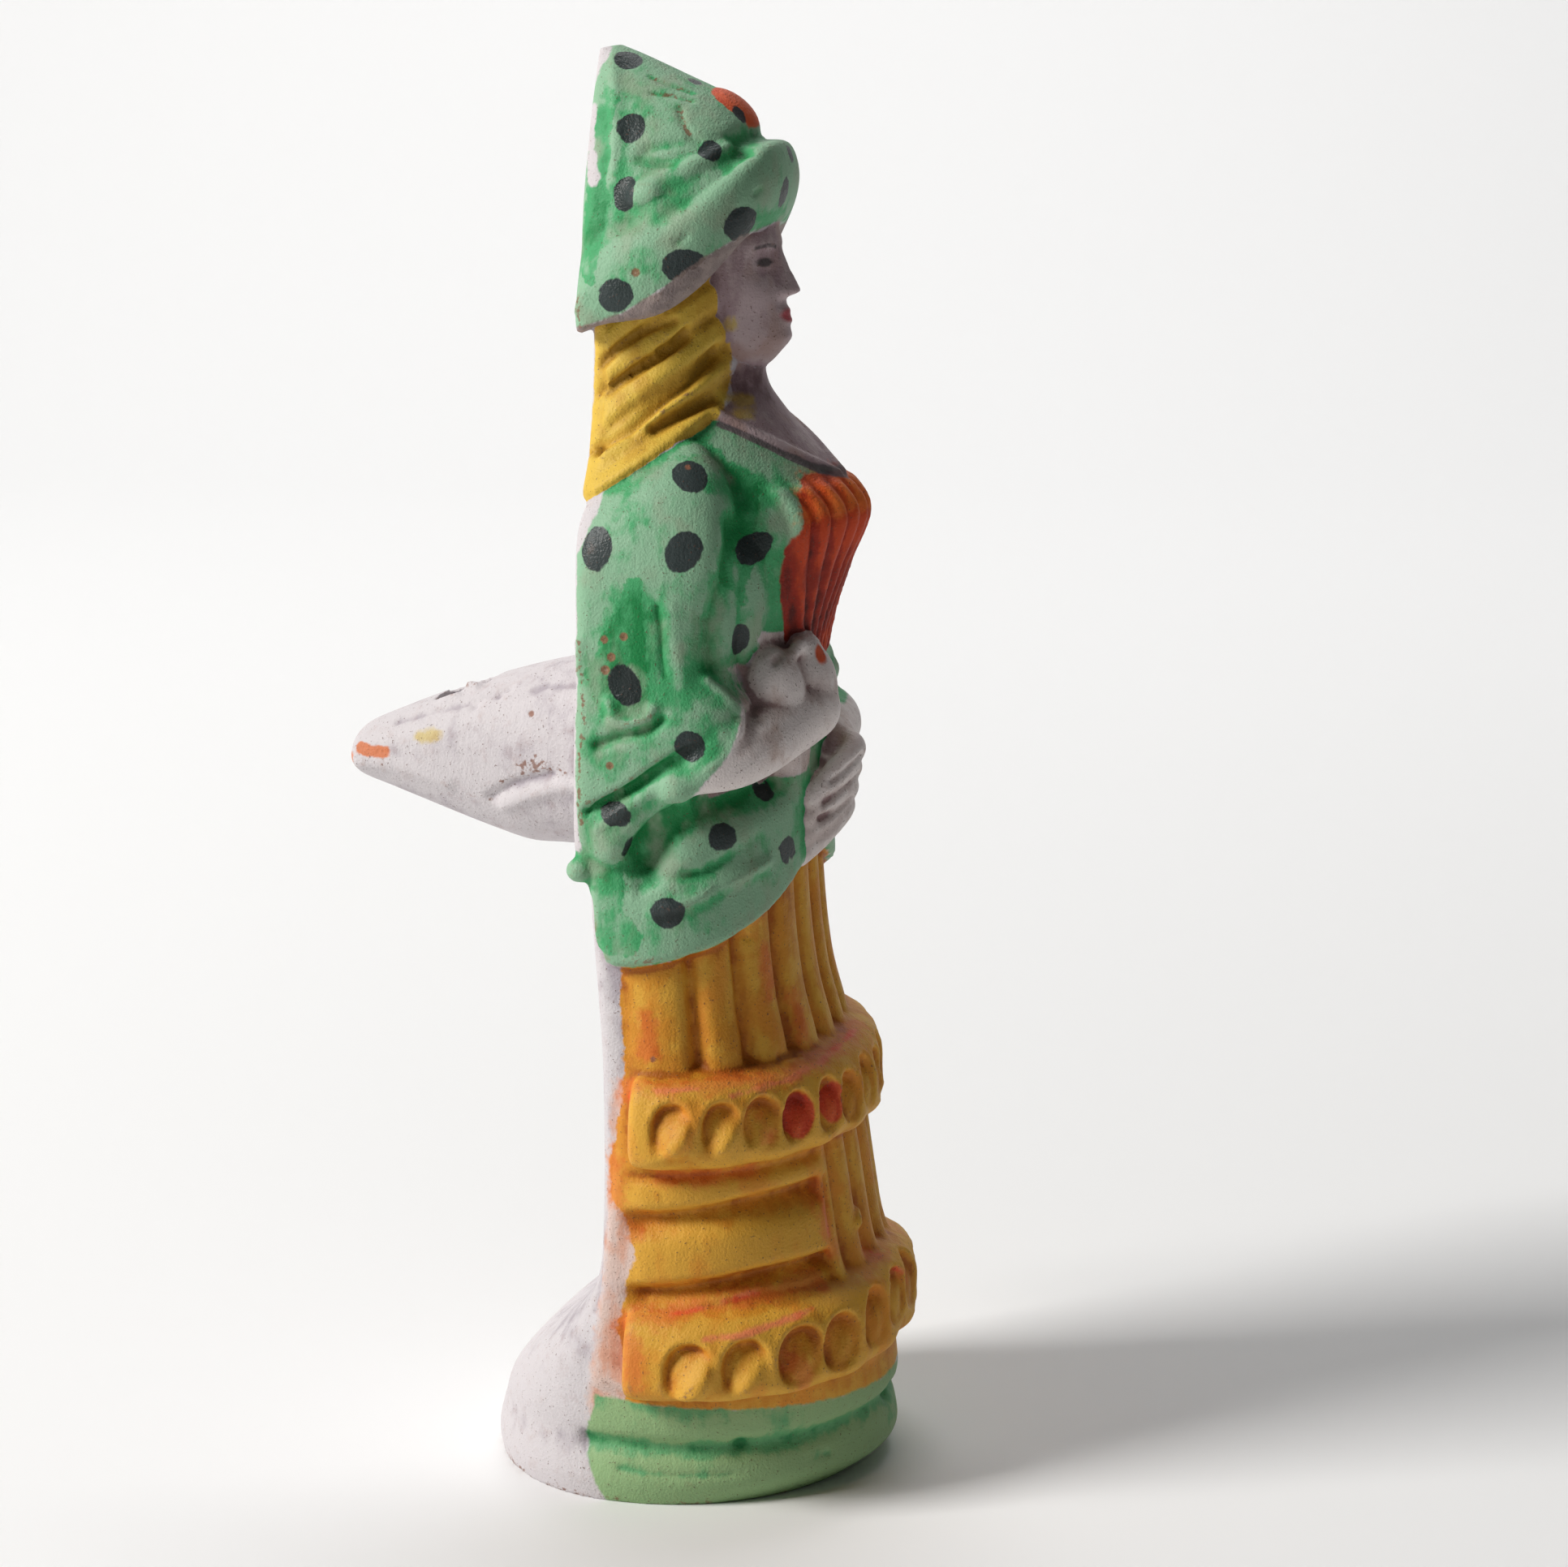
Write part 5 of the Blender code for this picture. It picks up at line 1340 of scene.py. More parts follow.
# Scratches and worn edges, where bare clay shows
WORN_LINES = (
    ((-28.2, 8.6, 122.2), (-28.2, 8.2, 118.2), (-28.6, 7.9, 114.7), (-29.5, 7.4, 111.3),
        (-29.8, 8.1, 104.6), (-29.5, 7.9, 97.0)),
    ((-18.9, 10.9, 167.4), (-18.8, 11.2, 164.4), (-18.4, 11.0, 162.2)),
    ((-4.9, 5.3, 195.5), (-5.2, 2.8, 194.6), (-5.1, -0.7, 193.4)),
    ((-7.2, 4.3, 193.5), (-6.8, 1.4, 193.1), (-6.5, -1.1, 192.4)),
    ((-8.1, 0.1, 191.5), (-9.6, -0.8, 189.7), (-10.2, -2.2, 187.8)),
    ((-30.0, 6.9, 99.6), (-29.5, 3.4, 101.7), (-29.2, 0.2, 103.6)),
    ((-20.3, -16.7, 111.4), (-15.7, -18.7, 112.8), (-13.0, -19.7, 113.4)),
    ((-26.4, 9.6, 90.6), (-26.8, 9.0, 89.0)),
    ((-27.6, 4.6, 77.4), (-27.8, 3.6, 73.0), (-27.8, 3.4, 69.0)),
    ((-7.4, 48.4, 102.6), (-8.4, 47.4, 100.6), (-8.4, 43.8, 99.2)),
    ((-12.0, 24.2, 101.5), (-12.4, 21.5, 100.3)),
    ((-12.2, 22.5, 102.2), (-12.8, 18.8, 100.0)),
    ((-12.3, 21.4, 102.4), (-13.1, 16.8, 100.2)),
    ((-12.5, 20.4, 102.6), (-13.4, 15.0, 100.4)),
    ((-11.6, 26.0, 98.4), (-12.3, 22.6, 99.6), (-12.9, 18.4, 100.4)),
    ((-6.6, 40.0, 106.4), (-7.4, 34.0, 108.4), (-7.6, 29.4, 109.6)),
    ((-7.9, 38.0, 98.0), (-9.4, 32.0, 96.4), (-10.6, 27.0, 95.6)),
    ((-27.9, 2.0, 0.6), (-24.6, -13.0, 0.6), (-14.0, -24.4, 0.6)),
    ((-27.9, 2.0, 0.6), (-24.6, 18.0, 0.6), (-12.0, 27.4, 0.6)),
)
# Places at the hat's back edge that the green missed
HAT_WORN = (
    ((-2.2, 12.8, 198.8), (-3.2, 12.8, 197.6)),
    ((-8.2, 12.8, 191.0), (-9.4, 12.8, 189.0), (-10.6, 12.4, 187.0)),
    ((-12.0, 12.0, 185.0), (-13.5, 11.0, 182.4)),
)
YELLOW_SMEARS = (
    ((-9.0, -6.0, 153.2), (-5.6, -9.0, 152.4)),
    ((-8.6, -8.2, 150.8), (-7.4, -9.4, 150.9)),
    ((-6.9, -6.6, 162.8),),
    ((-8.8, 38.6, 103.6), (-9.4, 36.2, 104.0)),
)
BARE_CLAY = (
    ((-7.2, 48.2, 101.2), (-7.9, 46.6, 100.8), (-8.3, 44.2, 101.0)),
    ((-6.4, 49.6, 99.6),),
)
# Where a more orange paint lies over the ochre
ORANGE_PLACES = (
    ((-27.4, 4.9, 51.1), (-27.9, 4.3, 47.3), (-28.3, 3.7, 43.5), (-28.3, 1.7, 40.2)),
    ((-28.3, -2.8, 48.6), (-26.8, -7.3, 48.4), (-22.8, -13.6, 48.3)),
    ((-28.6, 2.8, 27.1), (-29.5, -2.1, 28.4), (-26.4, -8.6, 30.0), (-23.0, -16.1, 31.1),
        (-16.0, -22.0, 31.6)),
    ((-28.1, 2.4, 59.8), (-30.0, -3.5, 61.6), (-28.0, -9.0, 61.8), (-20.2, -18.3, 61.4),
        (-6.0, -21.6, 62.2), (8.0, -21.0, 62.0)),
    ((-31.8, 0.7, 25.4), (-32.4, -0.4, 19.0)),
    ((-24.4, -20.4, 22.0), (-23.4, -21.4, 19.0)),
    ((-25.4, -17.0, 57.0), (-24.8, -17.6, 54.0)),
    ((-27.5, -0.1, 70.0), (-27.6, -1.0, 66.0)),
    ((-15.7, -14.0, 77.0), (-15.8, -15.0, 72.0)),
    ((-10.6, -17.2, 70.0), (-10.4, -18.4, 65.0)),
    ((-13.3, -21.1, 44.1), (-13.1, -21.8, 39.0), (-12.9, -22.3, 34.5)),
    ((-3.6, -25.1, 31.8), (4.2, -29.0, 25.8)),
)


# Edges between two paints, each in steps of a measure: |x| for the neckline, y for brim and hair, else z
NECK_Z = ((0, 142.6), (4.8, 143.7), (7.9, 145.8), (10.4, 148.4), (11.8, 150.2), (14, 153))
BRIM_Z = (
    (-16, 177.4), (-10.9, 174.4), (-8.5, 173), (-4.6, 170.3), (-0.2, 166.8), (4.9, 163.6), (10.3, 161.7),
    (14, 161),
)
HAIR_Z = ((-6.1, 150.6), (-4.9, 148.9), (-2.3, 147.9), (1.3, 146.4), (3.9, 144.8), (6.8, 143.1), (10.1, 141))
COAT_Y = ((78, 5.6), (88, 7.8), (99, 8.6), (121, 8.8), (136, 9.6), (142, 8.6), (150, 10))
BODICE_HALF = (
    (110, 4), (112, 6), (117, 9.5), (121, 11.2), (124, 12.2), (128, 13.6), (133, 14), (138, 13), (141, 10.6),
    (143, 7.6),
)
OCHRE_Y = (
    (14, 3.4), (16, 2.6), (19.5, 2.2), (23, 3.0), (27, 3.9), (28.6, 3.0), (33, 2.6), (36, 0.8), (41, 2.2),
    (45, 4.6), (51, 5.0), (54, 3.6), (60, 2.6), (70, 3.4), (78, 3.4),
)
BASE_Y = ((0, 6.0), (5, 8.4), (9, 9.4), (15, 7.4))
BAND_Y = ((12, 9.0), (18, 7.8), (29, 6.5), (40, 5.7), (50, 4.8), (60, 4.5))


@dataclass(frozen=True)
class Painter:
    """Where each paint lies on the figure. Every field is in millimetres inside its own outline.

    Attributes:
        gown, head: The lumps whose own measures the paint follows.
        bare_strip: How far above the brim's edge the green stops.
        back_y: Where the paint stops at the hat's back.
        unpainted: Depth of a place that holds no paint at all.
    """

    gown: Gown
    head: Head
    bare_strip: float = 1.4
    back_y: float = 12.9
    unpainted: float = -1.0

    def paint(self, skin: Skin) -> None:
        """Works out each paint's field and keeps it on the skin."""
        for name, values in self.fields(skin).items():
            skin.keep(name, values)

    def fields(self, skin: Skin) -> dict[str, Array]:
        """All fields by name.

        Args:
            skin: The figurine's skin, with each point's lump of clay.

        Returns:
            One number per point for each name: the depth inside that paint in mm, below 0 outside it.
            The last two say how hollow the clay is.
        """
        points = skin.points
        z = points[:, 2]
        cloth = skin.share_of(Clay.BODY, Clay.SLEEVE, Clay.FRILL, Clay.COLLAR, Clay.FOREARM)
        over_hem = np.where(skin.clay == Clay.SLEEVE.value, 9.0, z - self.gown.hem(skin.to_front))
        limbs = self._limbs(skin)
        hat = self._hat(skin)
        locks = self._locks(skin)
        coat = self._coat(skin, np.minimum(cloth, over_hem))
        green = np.maximum(hat["green"], np.minimum.reduce([coat, -limbs, 0.3 - locks]))
        knob = Blot((-27.2, 8.6, 90.6), 2.6, 2.6).inside(points)
        under_brim = (self._over_brim(points) < -0.5) & (skin.clay == Clay.HAT.value)
        skirt = self._skirt(points, np.minimum(cloth, -over_hem))
        return {
            **hat,
            "green": np.maximum(green, knob),
            "locks": locks,
            "hands": limbs,
            **self._neck(skin, cloth),
            **self._bodice(points, np.minimum(np.maximum(cloth, -1.0) + 0.4, over_hem)),
            **skirt,
            "orange": np.minimum(painted_line(points, 1.5, *ORANGE_PLACES), skirt["ochre"] + 0.5),
            "dots": np.where((limbs > 0) | under_brim, self.unpainted, self._dots(points)),
            "features": self._features(points),
            "lips": self._lips(points),
            "poppy": self._poppy(points, skin),
            "rose_line": self._rose_lines(points),
            "clay": painted_line(points, 0.9, *BARE_CLAY),
            "worn": painted_line(points, 0.22, *WORN_LINES),
            "smear": painted_line(points, 1.0, *YELLOW_SMEARS),
            "pit_rims": self._pits(points, 1.0, 0.15),
            "pit_hearts": self._pits(points, 0.55, 0.0),
            "second_coat": self._second_coat(points),
            **self._hollows(skin),
        }

    def _limbs(self, skin: Skin) -> Array:
        """Hands and forearms, and the slip beside them that the green left."""
        x, y, z = skin.points.T
        side = np.abs(x)
        slip = np.minimum(Patch(SLIP_PATCH, paired=True).inside(skin.points), -5.0 - y)
        slip = np.where(x > 0.0, np.minimum(slip, 107.0 - z), slip)
        limbs = np.minimum(skin.share_of(Clay.FOREARM, Clay.HAND), np.maximum(slip, 14.0 - side))
        return np.maximum(limbs, np.minimum(slip, side - 5.5))

    def _over_brim(self, points: Array) -> Array:
        """How far a place is above the bare strip."""
        return points[:, 2] - along(points[:, 1], *BRIM_Z) - self.bare_strip

    def _hat(self, skin: Skin) -> dict[str, Array]:
        """The green of the hat, and the bare strip along its brim."""
        _, y, z = skin.points.T
        hat, above = skin.share_of(Clay.HAT, Clay.COCKADE), self._over_brim(skin.points)
        ragged_back = self.back_y + 0.5 * np.sin(z * 0.5) - y
        worn = painted_line(skin.points, 1.3, *HAT_WORN)
        return {
            "green": np.minimum.reduce([hat, above, ragged_back, -worn]),
            "bare": np.minimum.reduce([hat, -above, self.back_y - y]),
        }

    def _locks(self, skin: Skin) -> Array:
        """The yellow of the hair, down to its line on the shoulder."""
        _, y, z = skin.points.T
        on_shoulder = np.minimum(z - along(y, *HAIR_Z), 160.0 - z)
        locks = np.minimum.reduce([np.maximum(skin.share_of(Clay.HAIR), on_shoulder), 10.8 - y, y + 6.4])
        return np.minimum(locks, -skin.share_of(Clay.HAT, Clay.COCKADE))

    def _coat(self, skin: Skin, cloth: Array) -> Array:
        """The green of the coat, from its back edge to the neckline."""
        x, y, z = skin.points.T
        below_neck = np.maximum(along(np.abs(x), *NECK_Z) - z, y + 5.5)
        shoulder = Patch(SHOULDER_PATCH, paired=True).inside(skin.points)
        return np.minimum.reduce([cloth, along(z, *COAT_Y) - y, 152.0 - z, below_neck, -shoulder])

    def _neck(self, skin: Skin, cloth: Array) -> dict[str, Array]:
        """Face and neck, and the grey line of the collar below them."""
        x, y, z = skin.points.T
        over = z - along(np.abs(x), *NECK_Z)
        return {
            "flesh": np.maximum(skin.share_of(Clay.HEAD), np.minimum.reduce([over, cloth, -5.0 - y])),
            "collar": np.minimum.reduce([0.8 - np.abs(over + 0.5), -y - 6.0, 150.4 - z, cloth]),
        }

    def _bodice(self, points: Array, cloth: Array) -> dict[str, Array]:
        """The red bodice, and a painted highlight of brighter orange near its top."""
        x, y, z = points.T
        aside = along(z, *BODICE_HALF) - np.abs(x)
        bodice = np.minimum.reduce([aside, cloth, 142.6 - z, z - 110.0, -y - 9.0])
        return {"bodice": bodice, "bodice_top": np.minimum(bodice, 2.6 - np.abs(z - 140.0))}

    def _skirt(self, points: Array, cloth: Array) -> dict[str, Array]:
        """The ochre skirt, the thin wash behind its edge, and the green base."""
        _, y, z = points.T
        slope = 0.06 * (y + 10.0)
        return {
            "ochre": np.minimum.reduce([cloth, z - 14.2 - slope, along(z, *OCHRE_Y) - y]),
            "band": np.minimum.reduce([along(z, *BAND_Y) - y, 61.0 - z, z - 12.0, y + 6.0]),
            "base": np.minimum(14.6 - z + slope, along(z, *BASE_Y) - y),
        }

    def _dots(self, points: Array) -> Array:
        """The slate dots of hat and coat, on both sides."""
        dots = (*HAT_DOTS, *COAT_DOTS, *self._far_dots())
        return np.max([dot.inside(points) for dot in dots], axis=0)

    def _pits(self, points: Array, share: float, more: float) -> Array:
        """Depth inside the pits, each with that share of its radius and a little more."""
        reach = [share * radius + more for _, radius in PITS]
        away = [np.linalg.norm(points - np.array(at), axis=1) for at, _ in PITS]
        return np.max([size - distance for size, distance in zip(reach, away)], axis=0)

    def _far_dots(self) -> list[Blot]:
        """Dots on her hidden side, like the seen ones but not in the same places."""
        made = []
        for number, dot in enumerate((*HAT_DOTS, *COAT_DOTS)):
            x, y, z = dot.centre
            if x < -6.0:
                back, up = 1.6 * math.sin(3.7 * number), 1.5 * math.cos(2.9 * number)
                made.append(replace(dot, centre=(-x, y + back, z + up), lean=-dot.lean))
        return made

    def _features(self, points: Array) -> Array:
        """Eyes and brows, at the places that the head's proportions give."""
        x, y, z = points.T
        eye_x, eye_z = self.head.eye_x, self.head.eye_z
        side = np.abs(x) - eye_x
        eyes = 0.55 * (1.0 - np.hypot(side / 1.5, (z - eye_z) / 0.62))
        brows = 0.28 - np.abs(z - eye_z - 2.3 + 0.09 * side**2)
        brows = np.minimum(brows, 1.9 - np.abs(side))
        return np.minimum(np.maximum(eyes, brows), -8.0 - y)

    def _lips(self, points: Array) -> Array:
        """The lips, an ellipse at the mouth's place."""
        x, y, z = points.T
        return np.minimum(0.9 * (1.0 - np.hypot(x / 2.1, (z - self.head.mouth_z) / 0.95)), -9.5 - y)

    def _poppy(self, points: Array, skin: Skin) -> Array:
        """Orange-red dabs: the cockade, two petals of the upper frill, and touches on the skirt."""
        blots = (
            Blot((-19.2, -19.6, 55.8), 3.3, 2.6),
            Blot((-12.6, -22.8, 56.2), 3.1, 2.4),
            Blot((-9.0, -19.9, 118.4), 3.4, 1.0, -20),
        )
        dabs = np.max([blot.inside(points) for blot in blots], axis=0)
        _, y, z = points.T
        cockade = np.minimum.reduce([skin.share_of(Clay.COCKADE) + 0.6, z - 188.8, -2.6 - y])
        return np.maximum(dabs, cockade)

    def _rose_lines(self, points: Array) -> Array:
        """Thin red lines along both ledges, where the skirt meets a frill."""
        return painted_line(
            points,
            0.4,
            ((-28.6, 1.6, 59.6), (-30.0, -1.0, 60.6), (-30.3, -3.5, 61.1), (-28.9, -8.0, 61.4)),
            ((-27.6, -12.5, 60.4), (-20.2, -18.3, 61.0), (-12.0, -20.8, 61.6), (-5.4, -21.4, 62.0),
                (4.9, -21.4, 61.9)),
            ((-30.4, -9.4, 26.4), (-28.7, -14.3, 26.8), (-24.5, -19.5, 28.2), (-20.7, -22.4, 29.0)),
            ((-28.6, -4.1, 28.6), (-26.6, -10.0, 30.2), (-23.3, -15.3, 31.4)),
            ((-2.4, -25.6, 31.3), (-0.6, -29.2, 28.5), (4.2, -29.2, 26.4)),
            ((-13.2, -21.6, 42.0), (-13.0, -22.2, 37.0)),
        )

    def _second_coat(self, points: Array) -> Array:
        """Where the brush went over the green again."""
        patches = (
            Patch(((5.2, 112), (7.6, 118), (4, 124), (1.6, 131), (0, 130.6), (-0.4, 122), (-1.6, 112))),
            Patch(((6, 80), (6.6, 90), (3, 92), (2.2, 86), (-1, 81), (2, 79))),
            Patch(((11.8, 170), (11.6, 196), (8.6, 193), (8.2, 178), (9, 168))),
            Patch(((-9, 141), (-3, 146), (-6, 147), (-12, 143), (-13.6, 136), (-12, 126), (-9.5, 130))),
            Patch(((8, 5), (9, 10), (0, 9), (-8, 9.4), (-8, 6), (0, 5.4))),
        )
        return np.max([patch.inside(points) for patch in patches], axis=0)

    def _hollows(self, skin: Skin) -> dict[str, Array]:
        """How hollow the clay is at two scales: how far its neighbours' mean stands out of the surface. The
        material deepens its colours by both, partly as painted shade, and rubs paint off ridges by the
        crease.
        """
        normals = mesh_numbers(skin.piece.data, "vertices", "normal", 3)
        made = {}
        for name, passes in (("crease", 6), ("hollow", 60)):
            mean = np.column_stack([skin.softened(skin.points[:, axis].copy(), passes) for axis in range(3)])
            made[name] = ((mean - skin.points) * normals).sum(axis=1)
        return made


# Materials


def linear(colour: str) -> tuple[float, float, float, float]:
    """An sRGB hex colour as linear light: (v/12.92) below 0.04045, ((v + 0.055)/1.055)^2.4 above."""
    values = [int(colour[at : at + 2], 16) / 255 for at in (1, 3, 5)]
    return (*(v / 12.92 if v <= 0.04045 else ((v + 0.055) / 1.055) ** 2.4 for v in values), 1.0)


@dataclass(frozen=True)
class Wash:
    """One water-based paint: thin where it ran off, deep where it collected, and deeper still in creases and
    hollows as painted shade.

    Attributes:
        field: Name of the field that says where it lies.
        thin, full, pooled_and_shaded: Its colours from the thinnest film to the deepest; the deepest also
            serves as painted shade in creases and hollows.
        cover: How much of what is under it a full film hides.
        stray: How far the brush strayed from the outline.
        blend: Width of the edge.
        tint: A second colour in broad patches, where there is one.
    """

    field: str
    thin: str
    full: str
    pooled_and_shaded: str
    cover: float = 1.0
    stray: float = 0.5
    blend: float = 0.22
    tint: str = ""


WASHES = (
    Wash("band", "#d6b9ac", "#d59c80", "#c27752", 0.85, 1.2, 0.8, "#cdbcb8"),
    # Face, neck and chest: a flesh wash, darkened as painted shade over the face.
    Wash("flesh", "#b8a3a6", "#9c8388", "#6b5054", 0.95, 0.3, 0.4, "#a4857c"),
    # Hands, forearms and the slip beside them: a lighter wash than the face's, partly bare slip and partly
    # painted light on the lit hands.
    Wash("hands", "#e6dcd9", "#cfc0bc", "#8a706f", 0.95, 0.3, 0.4, "#b89c90"),
    Wash("locks", "#dcb748", "#cda23a", "#ac8224", 1.0, 0.5, 0.2),
    Wash("smear", "#c9b04a", "#c0a03a", "#a3811e", 0.7, 0.6, 0.5),
    Wash("clay", "#cd7444", "#ba5c2e", "#96451c", 0.95, 0.4, 0.2),
    Wash("ochre", "#dba43a", "#cd8a26", "#ab5f10", 1.0, 0.9, 0.25, "#d88a2a"),
    Wash("orange", "#dd8238", "#cf6320", "#b04c0e", 0.8, 1.8, 1.1, "#d7742e"),
    Wash("base", "#93b480", "#65a46f", "#35844f", 1.0, 0.5, 0.3),
    Wash("green", "#8bb694", "#46a268", "#177f42", 1.0, 0.45, 0.2, "#93a78c"),
    Wash("bodice", "#c94418", "#9c260d", "#5c1209", 1.0, 0.4, 0.2, "#8c2410"),
    # A painted highlight: brighter orange along the bodice's top.
    Wash("bodice_top", "#ec7a34", "#de5a22", "#b03a14", 0.9, 2.4, 1.4),
    Wash("poppy", "#dc5a2c", "#c73a1a", "#9c260e", 0.97, 0.3, 0.25),
    Wash("rose_line", "#ea8058", "#e4532f", "#cc3420", 0.85, 0.5, 0.4),
    Wash("collar", "#786a6d", "#5f5458", "#403a3f", 0.95, 0.25, 0.25),
    Wash("lips", "#b4474f", "#a53a45", "#7c2630", 0.9, 0.1, 0.3),
    Wash("dots", "#353c3e", "#242a2c", "#171d1f", 0.98, 0.35, 0.12),
    Wash("features", "#4a4546", "#35302f", "#241f20", 0.9, 0.08, 0.2),
)


class ClayPaint:
    """Hand-painted, low-fired clay: white slip brushed over terracotta, under thin washes and slate dots.

    To the eye: a matt, slightly chalky body whose colour deepens in creases and hollows, partly as paint that
    collected there and partly as painted shade, and wears through on ridges, with brown specks of grit, soft
    brush streaks, and dots with a faint sheen.
    """

    def __init__(self, name: str) -> None:
        """Starts an empty node tree with its output and shader."""
        self.material = bpy.data.materials.new(name)
        self.material.use_nodes = True
        self.tree = self.material.node_tree
        self.tree.nodes.clear()
        place = self.node("ShaderNodeTexCoord", out="Object")
        per_millimetre = (1.0 / MILLIMETRE,) * 3
        self.place = self.node("ShaderNodeVectorMath", {0: place, 1: per_millimetre}, operation="MULTIPLY")

    def node(
        self, kind: str, wires: dict[int | str, object] | None = None, out: int | str = 0, **settings: object
    ) -> bpy.types.NodeSocket | None:
        """Adds a node.

        Args:
            kind: Its type.
            wires: By input, a socket to link from or a value to set.
            out: The output to return.
            **settings: Its other settings.

        Returns:
            That output's socket, or nothing where it has none.
        """
        made = self.tree.nodes.new(kind)
        for setting, value in settings.items():
            setattr(made, setting, value)
        for where, value in (wires or {}).items():
            if isinstance(value, bpy.types.NodeSocket):
                self.tree.links.new(value, made.inputs[where])
            else:
                made.inputs[where].default_value = value
        return made.outputs[out] if made.outputs else None

    def math(self, operation: str, *values: object) -> bpy.types.NodeSocket:
        """One sum on up to three numbers."""
        return self.node("ShaderNodeMath", dict(enumerate(values)), operation=operation)

    def field(self, name: str) -> bpy.types.NodeSocket:
        """A field kept on the skin."""
        return self.node("ShaderNodeAttribute", out="Fac", attribute_name=name)

    def noise(self, grain: float | Point, detail: float = 3.0, rough: float = 0.55) -> bpy.types.NodeSocket:
        """Noise whose blotches are that many millimetres across, about 0.5 in the middle."""
        stretch = tuple(1.0 / part for part in (grain if isinstance(grain, tuple) else (grain,) * 3))
        where = self.node("ShaderNodeVectorMath", {0: self.place, 1: stretch}, operation="MULTIPLY")
        wires = {"Vector": where, "Scale": 1.0, "Detail": detail, "Roughness": rough}
        return self.node("ShaderNodeTexNoise", wires)

    def step(self, value: object, low: float, high: float, top: float = 1.0) -> bpy.types.NodeSocket:
        """A smooth step from 0 at low to top at high."""
        wires = {0: value, 1: low, 2: high, 3: 0.0, 4: top}
        return self.node("ShaderNodeMapRange", wires, interpolation_type="SMOOTHSTEP")

    def mix(self, share: object, under: object, over: object) -> bpy.types.NodeSocket:
        """Two colours mixed."""
        return self.node("ShaderNodeMix", {0: share, 6: under, 7: over}, out=2, data_type="RGBA")

    def over(self, under: object, share: object, colour: str) -> bpy.types.NodeSocket:
        """One plain colour laid over what is there."""
        return self.mix(share, under, linear(colour))

    def film(self, wash: Wash, depth: bpy.types.NodeSocket) -> bpy.types.NodeSocket:
        """A wash's colour at a depth from 0 to 1."""
        ramp = self.mix(self.step(depth, 0.12, 0.55), linear(wash.thin), linear(wash.full))
        return self.mix(self.step(depth, 0.55, 1.0), ramp, linear(wash.pooled_and_shaded))

    def depth(self, mottle: bpy.types.NodeSocket, streaks: bpy.types.NodeSocket) -> bpy.types.NodeSocket:
        """How thick the paint lies, from 0 to 1: noise at three scales, and more in creases and hollows,
        which is partly paint that collected there and partly painted shade.
        """
        terms = (
            (self.math("SUBTRACT", self.noise(8.0, 2.0), 0.5), 1.4),
            (self.math("SUBTRACT", streaks, 0.5), 0.8),
            (self.math("SUBTRACT", mottle, 0.5), 0.8),
            # Creases and hollows darken every wash: partly paint that collected there, partly painted shade.
            (self.field("crease"), 1.0),
            (self.field("hollow"), 0.4),
        )
        total: object = 0.46
        for term, weight in terms:
            total = self.math("MULTIPLY_ADD", term, weight, total)
        return total

    def build(self) -> bpy.types.Material:
        """Lays slip, washes, wear and grit over each other, with painted shade deepening creases and hollows,
        and sets roughness and bump from them.
        """
        streaks = self.noise((1.8, 1.8, 9.0), 3.0)
        mottle = self.noise(2.2, 4.0, 0.65)
        grit = self.noise(0.36, 1.0)
        tints = self.noise((6.0, 6.0, 9.0), 3.0)
        drift = self.math("SUBTRACT", self.noise(3.2, 3.0), 0.5)
        fray = self.math("SUBTRACT", self.noise(0.8, 2.0), 0.5)
        wander = self.math("MULTIPLY_ADD", fray, 0.7, self.math("MULTIPLY", drift, 2.4))
        depth = self.depth(mottle, streaks)
        again = self.step(self.math("ADD", self.field("second_coat"), wander), -0.25, 0.25, 0.34)
        deep_green = self.math("ADD", depth, again)

        # Slip, from light to lilac-grey with the depth: random tone, and painted shade in creases and
        # hollows.
        colour = self.mix(self.step(depth, 0.2, 0.9), linear("#cdc7c9"), linear("#a89fa6"))
        colour = self.over(colour, self.step(mottle, 0.5, 0.85, 0.4), "#b39a94")
        shine = None
        for wash in WASHES:
            strayed = self.math("MULTIPLY_ADD", wander, wash.stray, self.field(wash.field))
            share = self.step(strayed, -wash.blend, wash.blend, wash.cover)
            film = self.film(wash, deep_green if wash.field == "green" else depth)
            if wash.tint:
                film = self.over(film, self.step(tints, 0.5, 0.68, 0.75), wash.tint)
            colour = self.mix(share, colour, film)
            if wash.field == "dots":
                shine = share

        # The bare strip along the brim's edge and the brim's underside are laid in a dark grey-brown.
        under_brim = self.step(self.math("MULTIPLY_ADD", wander, 0.6, self.field("bare")), -0.25, 0.25, 0.85)
        brim_strip_tone = self.mix(self.step(mottle, 0.35, 0.65), linear("#75635f"), linear("#9a877f"))
        colour = self.mix(under_brim, colour, brim_strip_tone)
        ridge = self.step(self.math("MULTIPLY", self.field("crease"), -1.0), 0.1, 0.3)
        rubbed = self.math("MULTIPLY", ridge, self.step(self.noise(1.1, 4.0, 0.7), 0.52, 0.6))
        colour = self.over(colour, self.math("MULTIPLY", rubbed, 0.7), "#8c6450")
        worn = self.math("MULTIPLY_ADD", fray, 2.2, self.field("worn"))
        colour = self.over(colour, self.step(worn, -0.1, 0.25, 0.8), "#80543f")
        colour = self.over(colour, self.step(self.field("pit_rims"), -0.15, 0.1, 0.85), "#8f5f48")
        colour = self.over(colour, self.step(self.field("pit_hearts"), -0.1, 0.1, 0.85), "#cdb3a6")
        colour = self.over(colour, self.step(grit, 0.68, 0.74, 0.65), "#5f4236")

